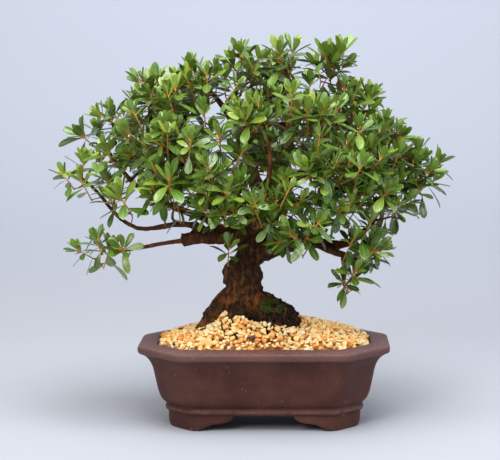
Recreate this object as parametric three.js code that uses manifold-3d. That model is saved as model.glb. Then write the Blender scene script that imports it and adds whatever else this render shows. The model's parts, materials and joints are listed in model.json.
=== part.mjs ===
// Azalea bonsai in an unglazed clay pot, in millimetres, +Z up.
// The pot's own frame has its origin on the ground under the middle of the pot, +X to the right
// and -Y to the front. The whole group is then moved so that the origin is the middle of the
// underside of the object's box.
import * as THREE from "three";
import { mergeVertices } from "three/addons/utils/BufferGeometryUtils.js";
import Module from "manifold-3d";

const wasm = await Module();
wasm.setup();

// ---------------------------------------------------------------- driving dimensions

const GAP = 0.35;
const MERGE_TOLERANCE = 1e-4;

const POT = {
  width: 240,
  depth: 145,
  cornerCut: 40,
  cornerSoftening: 4,
  rimWidth: 17.5,
  rimHeight: 81,
  rimFall: 2,
  lipHeight: 6.5,
  floorUnder: 15.3,
  floorTop: 24,
  footThickness: 10,
};

// The outside of the pot from the feet up to the lip: [distance in from the rim, height].
const POT_OUTSIDE = [
  [28, POT.floorUnder],
  [26, 16.4],
  [25, 18.8],
  [26, 21.2],
  [27, 22.2],
  [24.4, 23],
  [21.4, 27],
  [19, 33],
  [16.5, 44],
  [14.2, 56],
  [11.6, 63],
  [7.6, 68.5],
  [2.8, 71.8],
];

// The inside of the pot from the rim down to the floor: [distance in from the rim, height].
const POT_INSIDE = [
  [18.6, 78],
  [21.5, 62],
  [26, 42],
  [30, 29],
  [35, POT.floorTop],
];

const CLOUD_CUT_FRONT = { top: 27.5, shoulder: 50, bottom: 67, shoulderHeight: 6 };
const CLOUD_CUT_SIDE = { top: 9, shoulder: 17, bottom: 25, shoulderHeight: 6 };

const FOOT_OVERLAP = 1;

const DRAIN = { radius: 8, length: 30, at: [-46, 46], names: ["left", "right"] };
const SCREEN = { side: 20.2, thickness: 1.2, strip: 2.2, pitch: 6, holesAcross: 3 };
const SCREEN_WIRE = { radius: 0.6, legSpacing: 12, rise: 1.2, footLength: 9, bend: 1.4 };

const SOIL_TOP = 74;
const MOUND = { centreX: 6, centreHeight: 104, edgeHeight: 79.5 };

// The grain mound from its edge to its middle: [share of the way out, share of the full rise].
const MOUND_STEPS = [
  [1, 0],
  [0.95, 0.15],
  [0.85, 0.33],
  [0.7, 0.51],
  [0.5, 0.71],
  [0.3, 0.88],
  [0.12, 0.97],
];

// Trunk from below the soil to its fork: [x, y, z, radius].
const TRUNK = [
  [-15, 0, 80, 22],
  [-17, 0, 98, 25],
  [-20, 0, 112, 23],
  [-20, 0, 124, 19.5],
  [-19, 0, 134, 17],
  [-21, 0, 145, 17.5],
  [-21, 0, 155, 17],
  [-17, 0, 164, 17],
  [-10, 0, 173, 15],
  [-7, 1, 183, 12.5],
  [-7, 2, 194, 11],
  [-6, 3, 207, 10],
  [-1, 3, 218, 9],
  [5, 4, 228, 7.5],
];

const ROOTS = [
  [[-24, -2, 122, 12], [-38, -6, 112, 12], [-50, -8, 100, 10], [-60, -9, 88, 7]],
  [[-22, -8, 116, 12], [-26, -20, 105, 11], [-30, -30, 94, 8], [-32, -36, 84, 5]],
  [[-10, -6, 118, 12], [0, -16, 106, 11], [8, -26, 96, 8], [12, -34, 86, 5]],
  [[-12, 2, 120, 12], [4, 0, 111, 11], [20, -2, 101, 9], [34, -4, 88, 6]],
  [[-14, 8, 116, 12], [-4, 20, 104, 10], [6, 30, 94, 8], [10, 36, 84, 5]],
  [[-24, 8, 116, 12], [-36, 18, 104, 10], [-44, 28, 94, 8], [-48, 34, 84, 5]],
];

// Limbs from where each leaves older wood to its tip: [x, y, z, radius].
const LIMBS = {
  leader: [
    [5, 4, 226, 7.5], [15, 6, 243, 6.8], [23, 7, 266, 6], [29, 6, 292, 4.8],
    [26, 4, 318, 3.4], [22, 2, 340, 2.2],
  ],
  limb_upper_left: [
    [-2, 4, 208, 7.5], [-7, 14, 228, 6.6], [-13, 20, 250, 5.8], [-25, 22, 280, 4.6],
    [-40, 18, 306, 3.4], [-58, 10, 328, 2],
  ],
  limb_upper_right: [
    [4, 3, 222, 6.5], [18, -5, 232, 6], [36, -10, 241, 5.4], [52, -13, 256, 4.6],
    [62, -14, 283, 3.6], [74, -8, 308, 2.8], [72, 0, 334, 1.8],
  ],
  limb_right: [
    [-2, -4, 204, 6.5], [22, -20, 213, 5.8], [58, -28, 221, 5], [92, -28, 236, 4.2],
    [122, -20, 252, 3], [146, -8, 256, 1.8],
  ],
  limb_low_right: [
    [-12, -2, 170, 11.5], [4, -6, 170, 10.5], [20, -10, 173, 9], [42, -15, 178, 7],
    [62, -18, 174, 5.6], [84, -22, 178, 4.4], [108, -22, 200, 2.2],
  ],
  limb_low_right_drop: [
    [46, -15, 178, 5], [62, -30, 171, 4.2], [84, -40, 165, 3.2], [98, -42, 159, 1.8],
  ],
  limb_left: [
    [-12, -2, 188, 10.5], [-26, -8, 184, 9], [-42, -13, 182, 8], [-58, -18, 183, 7.4],
    [-75, -24, 180, 6.4],
  ],
  limb_left_low: [
    [-68, -22, 180, 3.4], [-92, -28, 178, 2.6], [-120, -31, 173, 2.3], [-142, -32, 172, 2],
    [-160, -31, 180, 1.6],
  ],
  limb_left_middle: [
    [-50, -16, 184, 4.2], [-62, -18, 192, 3.8], [-80, -19, 195, 3.3], [-97, -19, 192, 3],
    [-117, -15, 190, 2.8], [-131, -12, 196, 2.6], [-143, -9, 206, 2.4], [-158, -4, 224, 2],
    [-174, 0, 238, 1.5],
  ],
  limb_left_upper: [
    [-36, -10, 185, 5.2], [-52, 0, 196, 4.4], [-76, 8, 204, 3.9], [-106, 15, 216, 3.3],
    [-130, 21, 234, 2.8], [-148, 24, 258, 2.2], [-160, 26, 274, 1.5],
  ],
  limb_high_left: [
    [-7, -2, 206, 6], [-26, -18, 220, 5.2], [-54, -28, 236, 4.6], [-80, -34, 256, 3.8],
    [-100, -32, 282, 3], [-106, -26, 310, 1.8],
  ],
  limb_front: [
    [-8, -6, 192, 5.5], [-8, -26, 200, 4.8], [-4, -48, 212, 4], [6, -64, 236, 3.2],
    [8, -68, 268, 2.6], [2, -62, 292, 1.8],
  ],
  limb_back_left: [
    [-8, 6, 196, 6.5], [-22, 24, 208, 5.6], [-44, 42, 220, 4.6], [-76, 56, 238, 3.6],
    [-100, 60, 256, 2.2],
  ],
  limb_back_right: [
    [-2, 6, 206, 6.5], [12, 26, 220, 5.6], [34, 46, 232, 4.8], [56, 62, 250, 3.8],
    [56, 74, 278, 2.4],
  ],
};

// Clumps of leaves: centre and half sizes.
const FOLIAGE = {
  left_low: { at: [-157, -31, 177], half: [39, 22, 18] },
  left_end: { at: [-177, 0, 241], half: [24, 26, 22] },
  left_middle: { at: [-147, -20, 213], half: [24, 24, 17] },
  left_upper_end: { at: [-165, 30, 276], half: [25, 24, 16] },
  left_upper_top: { at: [-144, 22, 298], half: [25, 22, 15] },
  left_upper_inner: { at: [-124, 6, 262], half: [24, 26, 18] },
  high_left: { at: [-107, -22, 316], half: [21, 24, 35] },
  high_left_front: { at: [-84, -60, 282], half: [26, 26, 21] },
  left_front: { at: [-90, -48, 229], half: [28, 28, 22] },
  top_left: { at: [-62, 4, 331], half: [31, 30, 24] },
  top_left_back: { at: [-88, 62, 300], half: [31, 28, 28] },
  top_centre_left: { at: [-15, 8, 346], half: [21, 24, 25] },
  top_centre: { at: [22, 2, 349], half: [22, 26, 24] },
  top_right: { at: [64, 0, 346], half: [25, 22, 22] },
  top_back: { at: [6, 66, 322], half: [36, 30, 28] },
  front_high: { at: [-8, -62, 300], half: [32, 26, 22] },
  front_left: { at: [-50, -74, 252], half: [26, 24, 20] },
  upper_right: { at: [92, 4, 306], half: [21, 26, 28] },
  upper_right_front: { at: [52, -56, 298], half: [27, 26, 24] },
  right_top: { at: [126, 0, 276], half: [20, 26, 19] },
  right_end: { at: [150, -4, 243], half: [24, 27, 30] },
  right_front: { at: [102, -52, 258], half: [26, 26, 22] },
  front_right: { at: [55, -78, 252], half: [26, 24, 21] },
  right_low_end: { at: [120, -20, 210], half: [24, 28, 22] },
  right_low_front: { at: [76, -58, 214], half: [24, 26, 21] },
  right_low_inner: { at: [40, -60, 192], half: [19, 22, 23] },
  right_low_tip: { at: [104, -38, 172], half: [21, 22, 22] },
  right_drop: { at: [82, -46, 149], half: [20, 18, 14] },
  front_low_left: { at: [-36, -66, 213], half: [27, 26, 19] },
  front_low: { at: [8, -74, 216], half: [21, 24, 26] },
  under_left: { at: [-35, -32, 170], half: [15, 13, 9] },
  centre: { at: [4, -24, 260], half: [27, 24, 22] },
  back_left: { at: [-88, 62, 244], half: [52, 30, 27] },
  back_centre: { at: [-4, 94, 270], half: [34, 28, 28] },
  back_right: { at: [56, 82, 284], half: [34, 30, 30] },
  back_right_low: { at: [92, 58, 240], half: [32, 30, 27] },
};

const FIBROUS_ROOTS = { at: [12, -14, 99], half: [25, 21, 18] };
const MOSS = { at: [10, -18, 114], half: [15, 12, 7] };

// Clumps are ellipsoids with low lumps, this share of their size.
const LUMPINESS = 0.1;
const CLUMP_DETAIL = 2;

const COLOURS = {
  clay: 0x5c3e3b,
  plastic: 0x2b2b2a,
  wire: 0x8a7a66,
  soil: 0x3a2a1d,
  grain: 0xe9b377,
  bark: 0x4a3324,
  roots: 0x2c1d15,
  moss: 0x5e6f2c,
  leaf: 0x4c6b35,
};

// ---------------------------------------------------------------- solids

/** Solid of a closed geometry whose seams and poles are merged. */
function solidFrom(geometry) {
  const bare = geometry.clone();
  bare.deleteAttribute("normal");
  bare.deleteAttribute("uv");
  const merged = mergeVertices(bare, MERGE_TOLERANCE);
  const index = merged.index.array;
  const kept = [];
  for (let i = 0; i < index.length; i += 3) {
    const [a, b, c] = index.slice(i, i + 3);
    if (a !== b && b !== c && c !== a) {
      kept.push(a, b, c);
    }
  }
  const mesh = new wasm.Mesh({
    numProp: 3,
    vertProperties: merged.attributes.position.array,
    triVerts: new Uint32Array(kept),
  });
  return new wasm.Manifold(mesh);
}

/** The body with the most volume, where a cut has left crumbs. */
function largestBody(solid) {
  const bodies = solid.decompose();
  return bodies.reduce((best, body) => (body.volume() > best.volume() ? body : best));
}

/** Named mesh of a solid in one finish. */
function meshOf(name, solid, finish) {
  const made = solid.getMesh();
  const geometry = new THREE.BufferGeometry();
  geometry.setAttribute("position", new THREE.BufferAttribute(made.vertProperties, made.numProp));
  geometry.setIndex(new THREE.BufferAttribute(made.triVerts, 1));
  geometry.computeVertexNormals();
  const mesh = new THREE.Mesh(geometry, new THREE.MeshStandardMaterial(finish));
  mesh.name = name;
  return mesh;
}

/** Solid with every cutter taken out of it. */
function cutBy(solid, cutters) {
  return cutters.reduce((left, cutter) => left.subtract(cutter), solid);
}

// ---------------------------------------------------------------- shapes with cut corners

/** Plan of the pot a distance in from its rim: sixteen points, two at each softened corner. */
function potOutline(inset) {
  const halfWidth = POT.width / 2 - inset;
  const halfDepth = POT.depth / 2 - inset;
  const cut = POT.cornerCut - inset * (2 - Math.SQRT2);
  const frontRight = [
    new THREE.Vector2(halfWidth - cut, -halfDepth),
    new THREE.Vector2(halfWidth, cut - halfDepth),
  ];
  const backRight = frontRight.map((p) => new THREE.Vector2(p.x, -p.y)).reverse();
  const right = [...frontRight, ...backRight];
  const left = right.map((p) => new THREE.Vector2(-p.x, p.y)).reverse();
  const corners = [...right, ...left];
  return corners.flatMap((corner, i) => {
    const before = corners.at(i - 1);
    const after = corners[(i + 1) % corners.length];
    const softened = (to) => {
      const share = Math.min(POT.cornerSoftening / corner.distanceTo(to), 0.45);
      return corner.clone().lerp(to, share);
    };
    return [softened(before), softened(after)];
  });
}

/** Ring of the pot's plan at a height. */
function potRing([inset, height]) {
  return { outline: potOutline(inset), height };
}

/**
 * Closed solid through rings of equal length, up the outside and down the inside, with a point on
 * the axis before the first ring and after the last.
 */
function ringSolid(rings, startHeight, endHeight, axisX = 0) {
  const silhouette = [
    new THREE.Vector2(0, startHeight),
    ...rings.map(({ height }) => new THREE.Vector2(1, height)),
    new THREE.Vector2(0, endHeight),
  ];
  const sides = rings[0].outline.length;
  const geometry = new THREE.LatheGeometry(silhouette, sides);
  geometry.rotateX(Math.PI / 2);
  const position = geometry.attributes.position;
  for (let side = 0; side <= sides; side += 1) {
    const firstRow = side * silhouette.length;
    const lastRow = firstRow + silhouette.length - 1;
    position.setXY(firstRow, axisX, 0);
    position.setXY(lastRow, axisX, 0);
    rings.forEach(({ outline }, row) => {
      const point = outline[side % sides];
      position.setXY(firstRow + 1 + row, point.x, point.y);
    });
  }
  return solidFrom(geometry);
}

// ---------------------------------------------------------------- round shapes

/**
 * Round tapering stem through stations of [x, y, z, radius], grown on every side by a clearance.
 * A cylinder is bent along the smooth curve through the stations.
 */
function stem(stations, { clearance = 0, sides = 8, steps = 2, tension = 0.5 } = {}) {
  const centres = stations.map(([x, y, z]) => new THREE.Vector3(x, y, z));
  const curve = new THREE.CatmullRomCurve3(centres, false, "catmullrom", tension);
  const rings = steps * (stations.length - 1);
  const frames = curve.computeFrenetFrames(rings);
  const geometry = new THREE.CylinderGeometry(1, 1, 1, sides, rings);
  const position = geometry.attributes.position;
  for (let i = 0; i < position.count; i += 1) {
    const along = position.getY(i) + 0.5;
    const ring = Math.round(along * rings);
    const station = curve.getUtoTmapping(ring / rings) * (stations.length - 1);
    const before = Math.min(Math.floor(station), stations.length - 2);
    const radius = THREE.MathUtils.lerp(stations[before][3], stations[before + 1][3], station - before);
    const endPush = clearance * (ring === 0 ? -1 : ring === rings ? 1 : 0);
    const point = curve
      .getPointAt(ring / rings)
      .addScaledVector(frames.tangents[ring], endPush)
      .addScaledVector(frames.normals[ring], position.getX(i) * (radius + clearance))
      .addScaledVector(frames.binormals[ring], -position.getZ(i) * (radius + clearance));
    position.setXYZ(i, point.x, point.y, point.z);
  }
  return solidFrom(geometry);
}

/** Lumpy ellipsoid, grown on every side by a clearance. */
function clump({ at, half }, seed, clearance = 0) {
  const geometry = new THREE.IcosahedronGeometry(1, CLUMP_DETAIL);
  const position = geometry.attributes.position;
  const direction = new THREE.Vector3();
  for (let i = 0; i < position.count; i += 1) {
    direction.fromBufferAttribute(position, i);
    const { x, y, z } = direction;
    const waves = Math.sin(4 * x + seed) + Math.sin(5 * y + 2 * seed) + Math.sin(4.5 * z + 3 * seed);
    const lump = 1 + (LUMPINESS * waves) / 3;
    const reach = half.map((size) => size * lump + clearance);
    position.setXYZ(i, at[0] + x * reach[0], at[1] + y * reach[1], at[2] + z * reach[2]);
  }
  return solidFrom(geometry);
}

// ---------------------------------------------------------------- pot

/** Cloud-shaped opening under the pot between two feet, standing along Z and running along Y. */
function cloudCut({ top, shoulder, bottom, shoulderHeight }, length) {
  const above = POT.floorUnder;
  const shape = new THREE.Shape();
  shape.moveTo(bottom + 1, -1);
  shape.lineTo(bottom, 0);
  shape.quadraticCurveTo((bottom + shoulder) / 2, 0.6, shoulder, shoulderHeight);
  shape.bezierCurveTo(top + 8, shoulderHeight + 1, top + 2, shoulderHeight + 3, top, above);
  shape.lineTo(-top, above);
  shape.bezierCurveTo(
    -top - 2, shoulderHeight + 3, -top - 8, shoulderHeight + 1, -shoulder, shoulderHeight,
  );
  shape.quadraticCurveTo(-(bottom + shoulder) / 2, 0.6, -bottom, 0);
  shape.lineTo(-bottom - 1, -1);
  const geometry = new THREE.ExtrudeGeometry(shape, {
    depth: length,
    bevelEnabled: false,
    curveSegments: 6,
  });
  geometry.translate(0, 0, -length / 2);
  geometry.rotateX(Math.PI / 2);
  return geometry;
}

/** Four corner feet: a standing band round the underside with a cloud cut in each side. */
function buildFeet() {
  const outerInset = POT_OUTSIDE[0][0];
  const innerInset = outerInset + POT.footThickness;
  const top = POT.floorUnder + FOOT_OVERLAP;
  const outside = [[outerInset + 1.2, 0], [outerInset, 2], [outerInset, top]];
  const inside = [[innerInset, -1], [innerInset, top + 1]];
  const band = ringSolid(outside.map(potRing), 0, top);
  const middle = ringSolid(inside.map(potRing), -1, top + 1);
  const frontCut = solidFrom(cloudCut(CLOUD_CUT_FRONT, POT.depth));
  const sideCut = solidFrom(cloudCut(CLOUD_CUT_SIDE, POT.width).rotateZ(Math.PI / 2));
  return cutBy(band, [middle, frontCut, sideCut]);
}

/** Clay pot: bowl, lip, bead and feet in one piece, with two drain holes. */
function buildPot() {
  const { rimHeight, rimFall, lipHeight, rimWidth, floorUnder, floorTop } = POT;
  const lipTop = rimHeight - rimFall;
  const lip = [
    [0.6, lipTop - lipHeight],
    [0, lipTop - lipHeight + 1.2],
    [0, lipTop - 1.4],
    [1.2, lipTop],
    [rimWidth - 1, rimHeight],
    [rimWidth, rimHeight - 0.8],
  ];
  const profile = [...POT_OUTSIDE, ...lip, ...POT_INSIDE];
  const bowl = ringSolid(profile.map(potRing), floorUnder, floorTop);
  const drains = DRAIN.at.map((x) => {
    const hole = new THREE.CylinderGeometry(DRAIN.radius, DRAIN.radius, DRAIN.length, 24);
    hole.rotateX(Math.PI / 2);
    hole.translate(x, 0, floorTop);
    return solidFrom(hole);
  });
  return cutBy(bowl.add(buildFeet()), drains);
}

/** Square of plastic mesh over the drain hole at x: strips crossing at a pitch. */
function buildScreen(x) {
  const { side, strip, pitch, thickness, holesAcross } = SCREEN;
  const strips = [];
  for (let i = 0; i <= holesAcross; i += 1) {
    const offset = (i - holesAcross / 2) * pitch;
    const along = new THREE.BoxGeometry(side, strip, thickness).translate(0, offset, 0);
    const across = new THREE.BoxGeometry(strip, side, thickness).translate(offset, 0, 0);
    strips.push(along, across);
  }
  const solids = strips.map((box) => {
    return solidFrom(box.translate(x, 0, POT.floorTop + GAP + thickness / 2));
  });
  return solids.reduce((sheet, solid) => sheet.add(solid));
}

/** Wire staple over the screen at x, down through two of its holes and out under the pot. */
function buildScreenWire(x, clearance = 0) {
  const { radius, legSpacing, rise, footLength, bend } = SCREEN_WIRE;
  const leg = legSpacing / 2;
  const over = POT.floorTop + GAP + SCREEN.thickness + rise;
  const under = POT.floorUnder - radius - GAP;
  const half = [
    [0, over],
    [leg - bend, over],
    [leg, over - bend],
    [leg, under + bend],
    [leg + bend, under],
    [leg + footLength, under],
  ];
  const mirrored = half.slice(1).reverse().map(([along, height]) => [-along, height]);
  const stations = [...mirrored, ...half].map(([along, height]) => [x + along, 0, height, radius]);
  return stem(stations, { clearance, sides: 6, tension: 0.15 });
}

// ---------------------------------------------------------------- soil

/** Growing mix in the pot, from just over the floor to its flat top. */
function buildSoil(cutters) {
  const floor = POT.floorTop + GAP;
  const wall = POT_INSIDE.slice(1).reverse().map(([inset, height]) => [inset + GAP, height]);
  wall[0][1] = floor;
  const topInset = POT_INSIDE[0][0] + 1;
  const rings = [...wall, [topInset + GAP, SOIL_TOP]].map(potRing);
  return largestBody(cutBy(ringSolid(rings, floor, SOIL_TOP), cutters));
}

/** Mounded layer of clay grains over the soil, highest at the tree's roots. */
function buildDressing(cutters) {
  const bottom = SOIL_TOP + GAP;
  const edge = potOutline(POT_INSIDE[0][0] + GAP);
  const middle = new THREE.Vector2(MOUND.centreX, 0);
  const rise = MOUND.centreHeight - MOUND.edgeHeight;
  const dome = MOUND_STEPS.map(([share, lift]) => ({
    outline: edge.map((p) => middle.clone().lerp(p, share)),
    height: MOUND.edgeHeight + rise * lift,
  }));
  const foot = potRing([POT_INSIDE[0][0] + 1 + GAP, bottom]);
  const mound = ringSolid([foot, ...dome], bottom, MOUND.centreHeight, MOUND.centreX);
  return largestBody(cutBy(mound, cutters));
}

// ---------------------------------------------------------------- assembly

const object = new THREE.Group();

/** Adds a solid to the object under a name. */
function place(name, solid, color, roughness, metalness = 0) {
  object.add(meshOf(name, solid, { color, roughness, metalness }));
}

/** Trunk with its buttress roots, grown by a clearance. */
function trunkWithRoots(clearance = 0) {
  const trunk = stem(TRUNK, { clearance, sides: 12 });
  const roots = ROOTS.map((stations) => stem(stations, { clearance, steps: 3 }));
  return roots.reduce((tree, root) => tree.add(root), trunk);
}

place("pot", buildPot(), COLOURS.clay, 0.6);

const drainCovers = DRAIN.at.flatMap((x, i) => {
  place(`drain_screen_${DRAIN.names[i]}`, buildScreen(x), COLOURS.plastic, 0.6);
  place(`screen_wire_${DRAIN.names[i]}`, buildScreenWire(x), COLOURS.wire, 0.35, 1);
  const side = SCREEN.side + 2 * GAP;
  const cover = new THREE.BoxGeometry(side, side, SCREEN.thickness + 2 * GAP);
  cover.translate(x, 0, POT.floorTop + GAP + SCREEN.thickness / 2);
  return [solidFrom(cover), buildScreenWire(x, GAP)];
});

const trunkKeepOut = trunkWithRoots(GAP);
const rootsKeepOut = clump(FIBROUS_ROOTS, 1, GAP);
place("trunk", trunkWithRoots(), COLOURS.bark, 0.85);
place("fibrous_roots", largestBody(clump(FIBROUS_ROOTS, 1).subtract(trunkKeepOut)), COLOURS.roots, 0.95);
place("soil", buildSoil([...drainCovers, trunkKeepOut, rootsKeepOut]), COLOURS.soil, 0.95);
place("top_dressing", buildDressing([trunkKeepOut, rootsKeepOut]), COLOURS.grain, 0.9);

place("moss", largestBody(cutBy(clump(MOSS, 0), [trunkKeepOut, rootsKeepOut])), COLOURS.moss, 0.95);

const woodKeepOut = [trunkKeepOut];
Object.entries(LIMBS).forEach(([name, stations]) => {
  const limb = largestBody(cutBy(stem(stations), woodKeepOut));
  place(name, limb, COLOURS.bark, 0.85);
  woodKeepOut.push(stem(stations, { clearance: GAP }));
});

const leafKeepOut = [...woodKeepOut];
Object.entries(FOLIAGE).forEach(([name, shape], i) => {
  const leaves = largestBody(cutBy(clump(shape, i), leafKeepOut));
  place(`leaves_${name}`, leaves, COLOURS.leaf, 0.5);
  leafKeepOut.push(clump(shape, i, GAP));
});

const box = new THREE.Box3().setFromObject(object, true);
const middle = box.getCenter(new THREE.Vector3());
object.position.set(-middle.x, -middle.y, -box.min.z);

export default object;
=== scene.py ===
"""A small-leaved azalea bonsai in an unglazed clay pot.

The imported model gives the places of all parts, in metres, +Z up and -Y to the front. This script
makes the visible surfaces there: the moulded pot, the clay grains, the bark with its twigs, the
fine roots, the moss and every leaf, and dresses each of them. Finer sizes are fields of the classes.
"""

import json
import logging
import math
from dataclasses import dataclass, field
from enum import Enum
from typing import Iterable, Sequence

import bmesh
import bpy
import numpy as np
from mathutils import Matrix, Vector, noise
from mathutils.bvhtree import BVHTree

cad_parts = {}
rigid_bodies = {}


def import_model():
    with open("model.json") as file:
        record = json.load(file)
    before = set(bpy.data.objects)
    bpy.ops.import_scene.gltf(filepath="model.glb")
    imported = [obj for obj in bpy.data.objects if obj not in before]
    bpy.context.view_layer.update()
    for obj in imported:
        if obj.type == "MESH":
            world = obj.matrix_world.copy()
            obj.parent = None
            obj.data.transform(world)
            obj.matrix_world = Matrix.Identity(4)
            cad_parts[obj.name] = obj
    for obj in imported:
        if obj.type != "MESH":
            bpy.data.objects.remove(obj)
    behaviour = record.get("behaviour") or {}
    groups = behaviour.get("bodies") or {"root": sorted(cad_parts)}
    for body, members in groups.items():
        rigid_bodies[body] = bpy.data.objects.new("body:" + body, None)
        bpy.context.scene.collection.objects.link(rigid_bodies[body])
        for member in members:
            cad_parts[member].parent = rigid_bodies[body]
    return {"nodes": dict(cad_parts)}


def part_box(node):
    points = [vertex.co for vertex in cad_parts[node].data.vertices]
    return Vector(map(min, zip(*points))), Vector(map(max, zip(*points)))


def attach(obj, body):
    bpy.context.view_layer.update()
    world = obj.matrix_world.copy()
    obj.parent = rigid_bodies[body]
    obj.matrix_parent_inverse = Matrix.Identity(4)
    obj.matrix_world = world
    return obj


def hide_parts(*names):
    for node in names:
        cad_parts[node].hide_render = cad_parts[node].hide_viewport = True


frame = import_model()

LOG = logging.getLogger("bonsai")
MM = 0.001
BODY = "root"
GOLDEN_ANGLE = math.radians(137.5)
UP = np.array([0.0, 0.0, 1.0])
POT_TOP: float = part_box("pot")[1].z

Array = np.ndarray
Chance = np.random.Generator
Material = bpy.types.Material
Mesh = bpy.types.Mesh
Piece = bpy.types.Object
Pairs = tuple[tuple[float, float], ...]
Triple = tuple[float, float, float]
Colour = tuple[float, float, float, float]
Socket = bpy.types.NodeSocket
LeafMesh = tuple[Array, Array, Array]
TipPlace = tuple[Array, Array, str, float]


# ---------------- small helpers


def colour(code: str) -> Colour:
    """Linear colour of a six-digit sRGB code.

    Args:
        code: Six hexadecimal digits.

    Returns:
        Red, green, blue and alpha, from 0 to 1.
    """
    shares = [int(code[i : i + 2], 16) / 255 for i in (0, 2, 4)]
    linear = [s / 12.92 if s <= 0.04045 else ((s + 0.055) / 1.055) ** 2.4 for s in shares]
    return (linear[0], linear[1], linear[2], 1.0)


def unit(vectors: Array) -> Array:
    """Vectors of length one, along the last axis."""
    lengths = np.linalg.norm(vectors, axis=-1, keepdims=True)
    return vectors / np.maximum(lengths, 1e-12)


def smooth_noise(points: Array, size: float, seed: float = 0.0) -> Array:
    """Smooth noise from -1 to 1 at each point.

    Args:
        points: Points in metres, one row each.
        size: Size of one lump in metres.
        seed: Moves the pattern, so that two calls differ.

    Returns:
        One value for each point.
    """
    shift = Vector((seed * 3.1, seed * 7.7, seed * 1.3))
    return np.array([noise.noise(Vector(p) / size + shift) for p in points])


def evaluated_mesh(piece: Piece) -> Mesh:
    """New mesh of an object with its modifiers applied.

    Args:
        piece: The object.

    Returns:
        The mesh, on its own.
    """
    bpy.context.view_layer.update()
    graph = bpy.context.evaluated_depsgraph_get()
    return bpy.data.meshes.new_from_object(piece.evaluated_get(graph))


def apply_modifiers(piece: Piece) -> None:
    """Bakes an object's modifiers into its mesh.

    Args:
        piece: The object.
    """
    made = evaluated_mesh(piece)
    piece.modifiers.clear()
    piece.data = made


def read_vectors(items: bpy.types.bpy_prop_collection, name: str) -> Array:
    """One named vector of every item.

    Args:
        items: The items of a mesh.
        name: Name of the vector.

    Returns:
        The vectors, one row each.
    """
    values = np.zeros(len(items) * 3)
    items.foreach_get(name, values)
    return values.reshape(-1, 3)


def mesh_points(mesh: Mesh) -> Array:
    """Vertex positions of a mesh, one row each."""
    return read_vectors(mesh.vertices, "co")


def mesh_normals(mesh: Mesh) -> Array:
    """Vertex normals of a mesh, one row each."""
    return read_vectors(mesh.vertex_normals, "vector")


def set_points(mesh: Mesh, points: Array) -> None:
    """Moves the vertices of a mesh."""
    mesh.vertices.foreach_set("co", points.astype(np.float32).ravel())
    mesh.update()


def add_values(mesh: Mesh, name: str, values: Array) -> None:
    """Stores one number or one vector for each vertex of a mesh under a name.

    Args:
        mesh: The mesh.
        name: Name that a material finds them by.
        values: One row for each vertex.
    """
    kind, field_name = ("FLOAT", "value") if values.ndim == 1 else ("FLOAT_VECTOR", "vector")
    attribute = mesh.attributes.new(name, kind, "POINT")
    attribute.data.foreach_set(field_name, values.astype(np.float32).ravel())


def new_piece(
    name: str,
    points: Array,
    faces: Array | Iterable[Sequence[int]],
    material: Material | None = None,
) -> Piece:
    """Object with a smooth-shaded mesh.

    Args:
        name: Name of the object and of its mesh.
        points: Vertices in metres, one row each.
        faces: Vertex numbers of each face, turning left seen from outside.
        material: Finish, if the piece has one yet.

    Returns:
        The new object, in the scene.
    """
    mesh = bpy.data.meshes.new(name)
    if isinstance(faces, Array):
        count, sides = faces.shape
        mesh.vertices.add(len(points))
        mesh.vertices.foreach_set("co", points.astype(np.float32).ravel())
        mesh.loops.add(count * sides)
        mesh.loops.foreach_set("vertex_index", faces.astype(np.int32).ravel())
        mesh.polygons.add(count)
        mesh.polygons.foreach_set("loop_start", np.arange(0, count * sides, sides, dtype=np.int32))
        mesh.update(calc_edges=True)
    else:
        mesh.from_pydata(np.asarray(points).tolist(), [], [list(face) for face in faces])
        mesh.update()
    mesh.shade_smooth()
    piece = bpy.data.objects.new(name, mesh)
    bpy.context.scene.collection.objects.link(piece)
    if material is not None:
        mesh.materials.append(material)
    return piece


def remove_piece(piece: Piece) -> None:
    """Takes a helper object out of the scene."""
    bpy.data.objects.remove(piece, do_unlink=True)


def boolean(target: Piece, cutter: Piece, operation: str) -> None:
    """Joins or cuts target with cutter, and removes the cutter.

    Args:
        target: Solid that is changed.
        cutter: Solid that is added or taken away.
        operation: UNION or DIFFERENCE.
    """
    modifier = target.modifiers.new(operation.lower(), "BOOLEAN")
    modifier.operation = operation
    modifier.solver = "EXACT"
    modifier.object = cutter
    apply_modifiers(target)
    remove_piece(cutter)


def box_middle(name: str) -> Array:
    """Middle of a CAD node's box."""
    low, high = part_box(name)
    return (np.array(low) + np.array(high)) / 2


def surface_tree(meshes: Iterable[Mesh]) -> BVHTree:
    """Search tree over the faces of some meshes.

    Args:
        meshes: The meshes, all in the same frame.

    Returns:
        The tree.
    """
    points: list[Vector] = []
    faces: list[list[int]] = []
    for mesh in meshes:
        start = len(points)
        points.extend(v.co.copy() for v in mesh.vertices)
        faces.extend([start + i for i in p.vertices] for p in mesh.polygons)
    return BVHTree.FromPolygons(points, faces)


def finish_piece(piece: Piece, slot: str, *nodes: str) -> None:
    """Rides a piece on the body and hides the CAD nodes that it stands for.

    Args:
        piece: The finished piece.
        slot: Material slot of the record; not used.
        nodes: CAD nodes that it stands for, if any.
    """
    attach(piece, BODY)
    if nodes:
        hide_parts(*nodes)
    LOG.info("%s: %d faces", piece.name, len(piece.data.polygons))


def voxel_remesh(piece: Piece, size: float) -> None:
    """Rebuilds a closed piece as an even skin of small faces.

    Args:
        piece: A closed piece.
        size: Length of a face's side, in metres.
    """
    modifier = piece.modifiers.new("even_skin", "REMESH")
    modifier.mode = "VOXEL"
    modifier.voxel_size = size
    modifier.use_smooth_shade = True
    apply_modifiers(piece)


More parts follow.
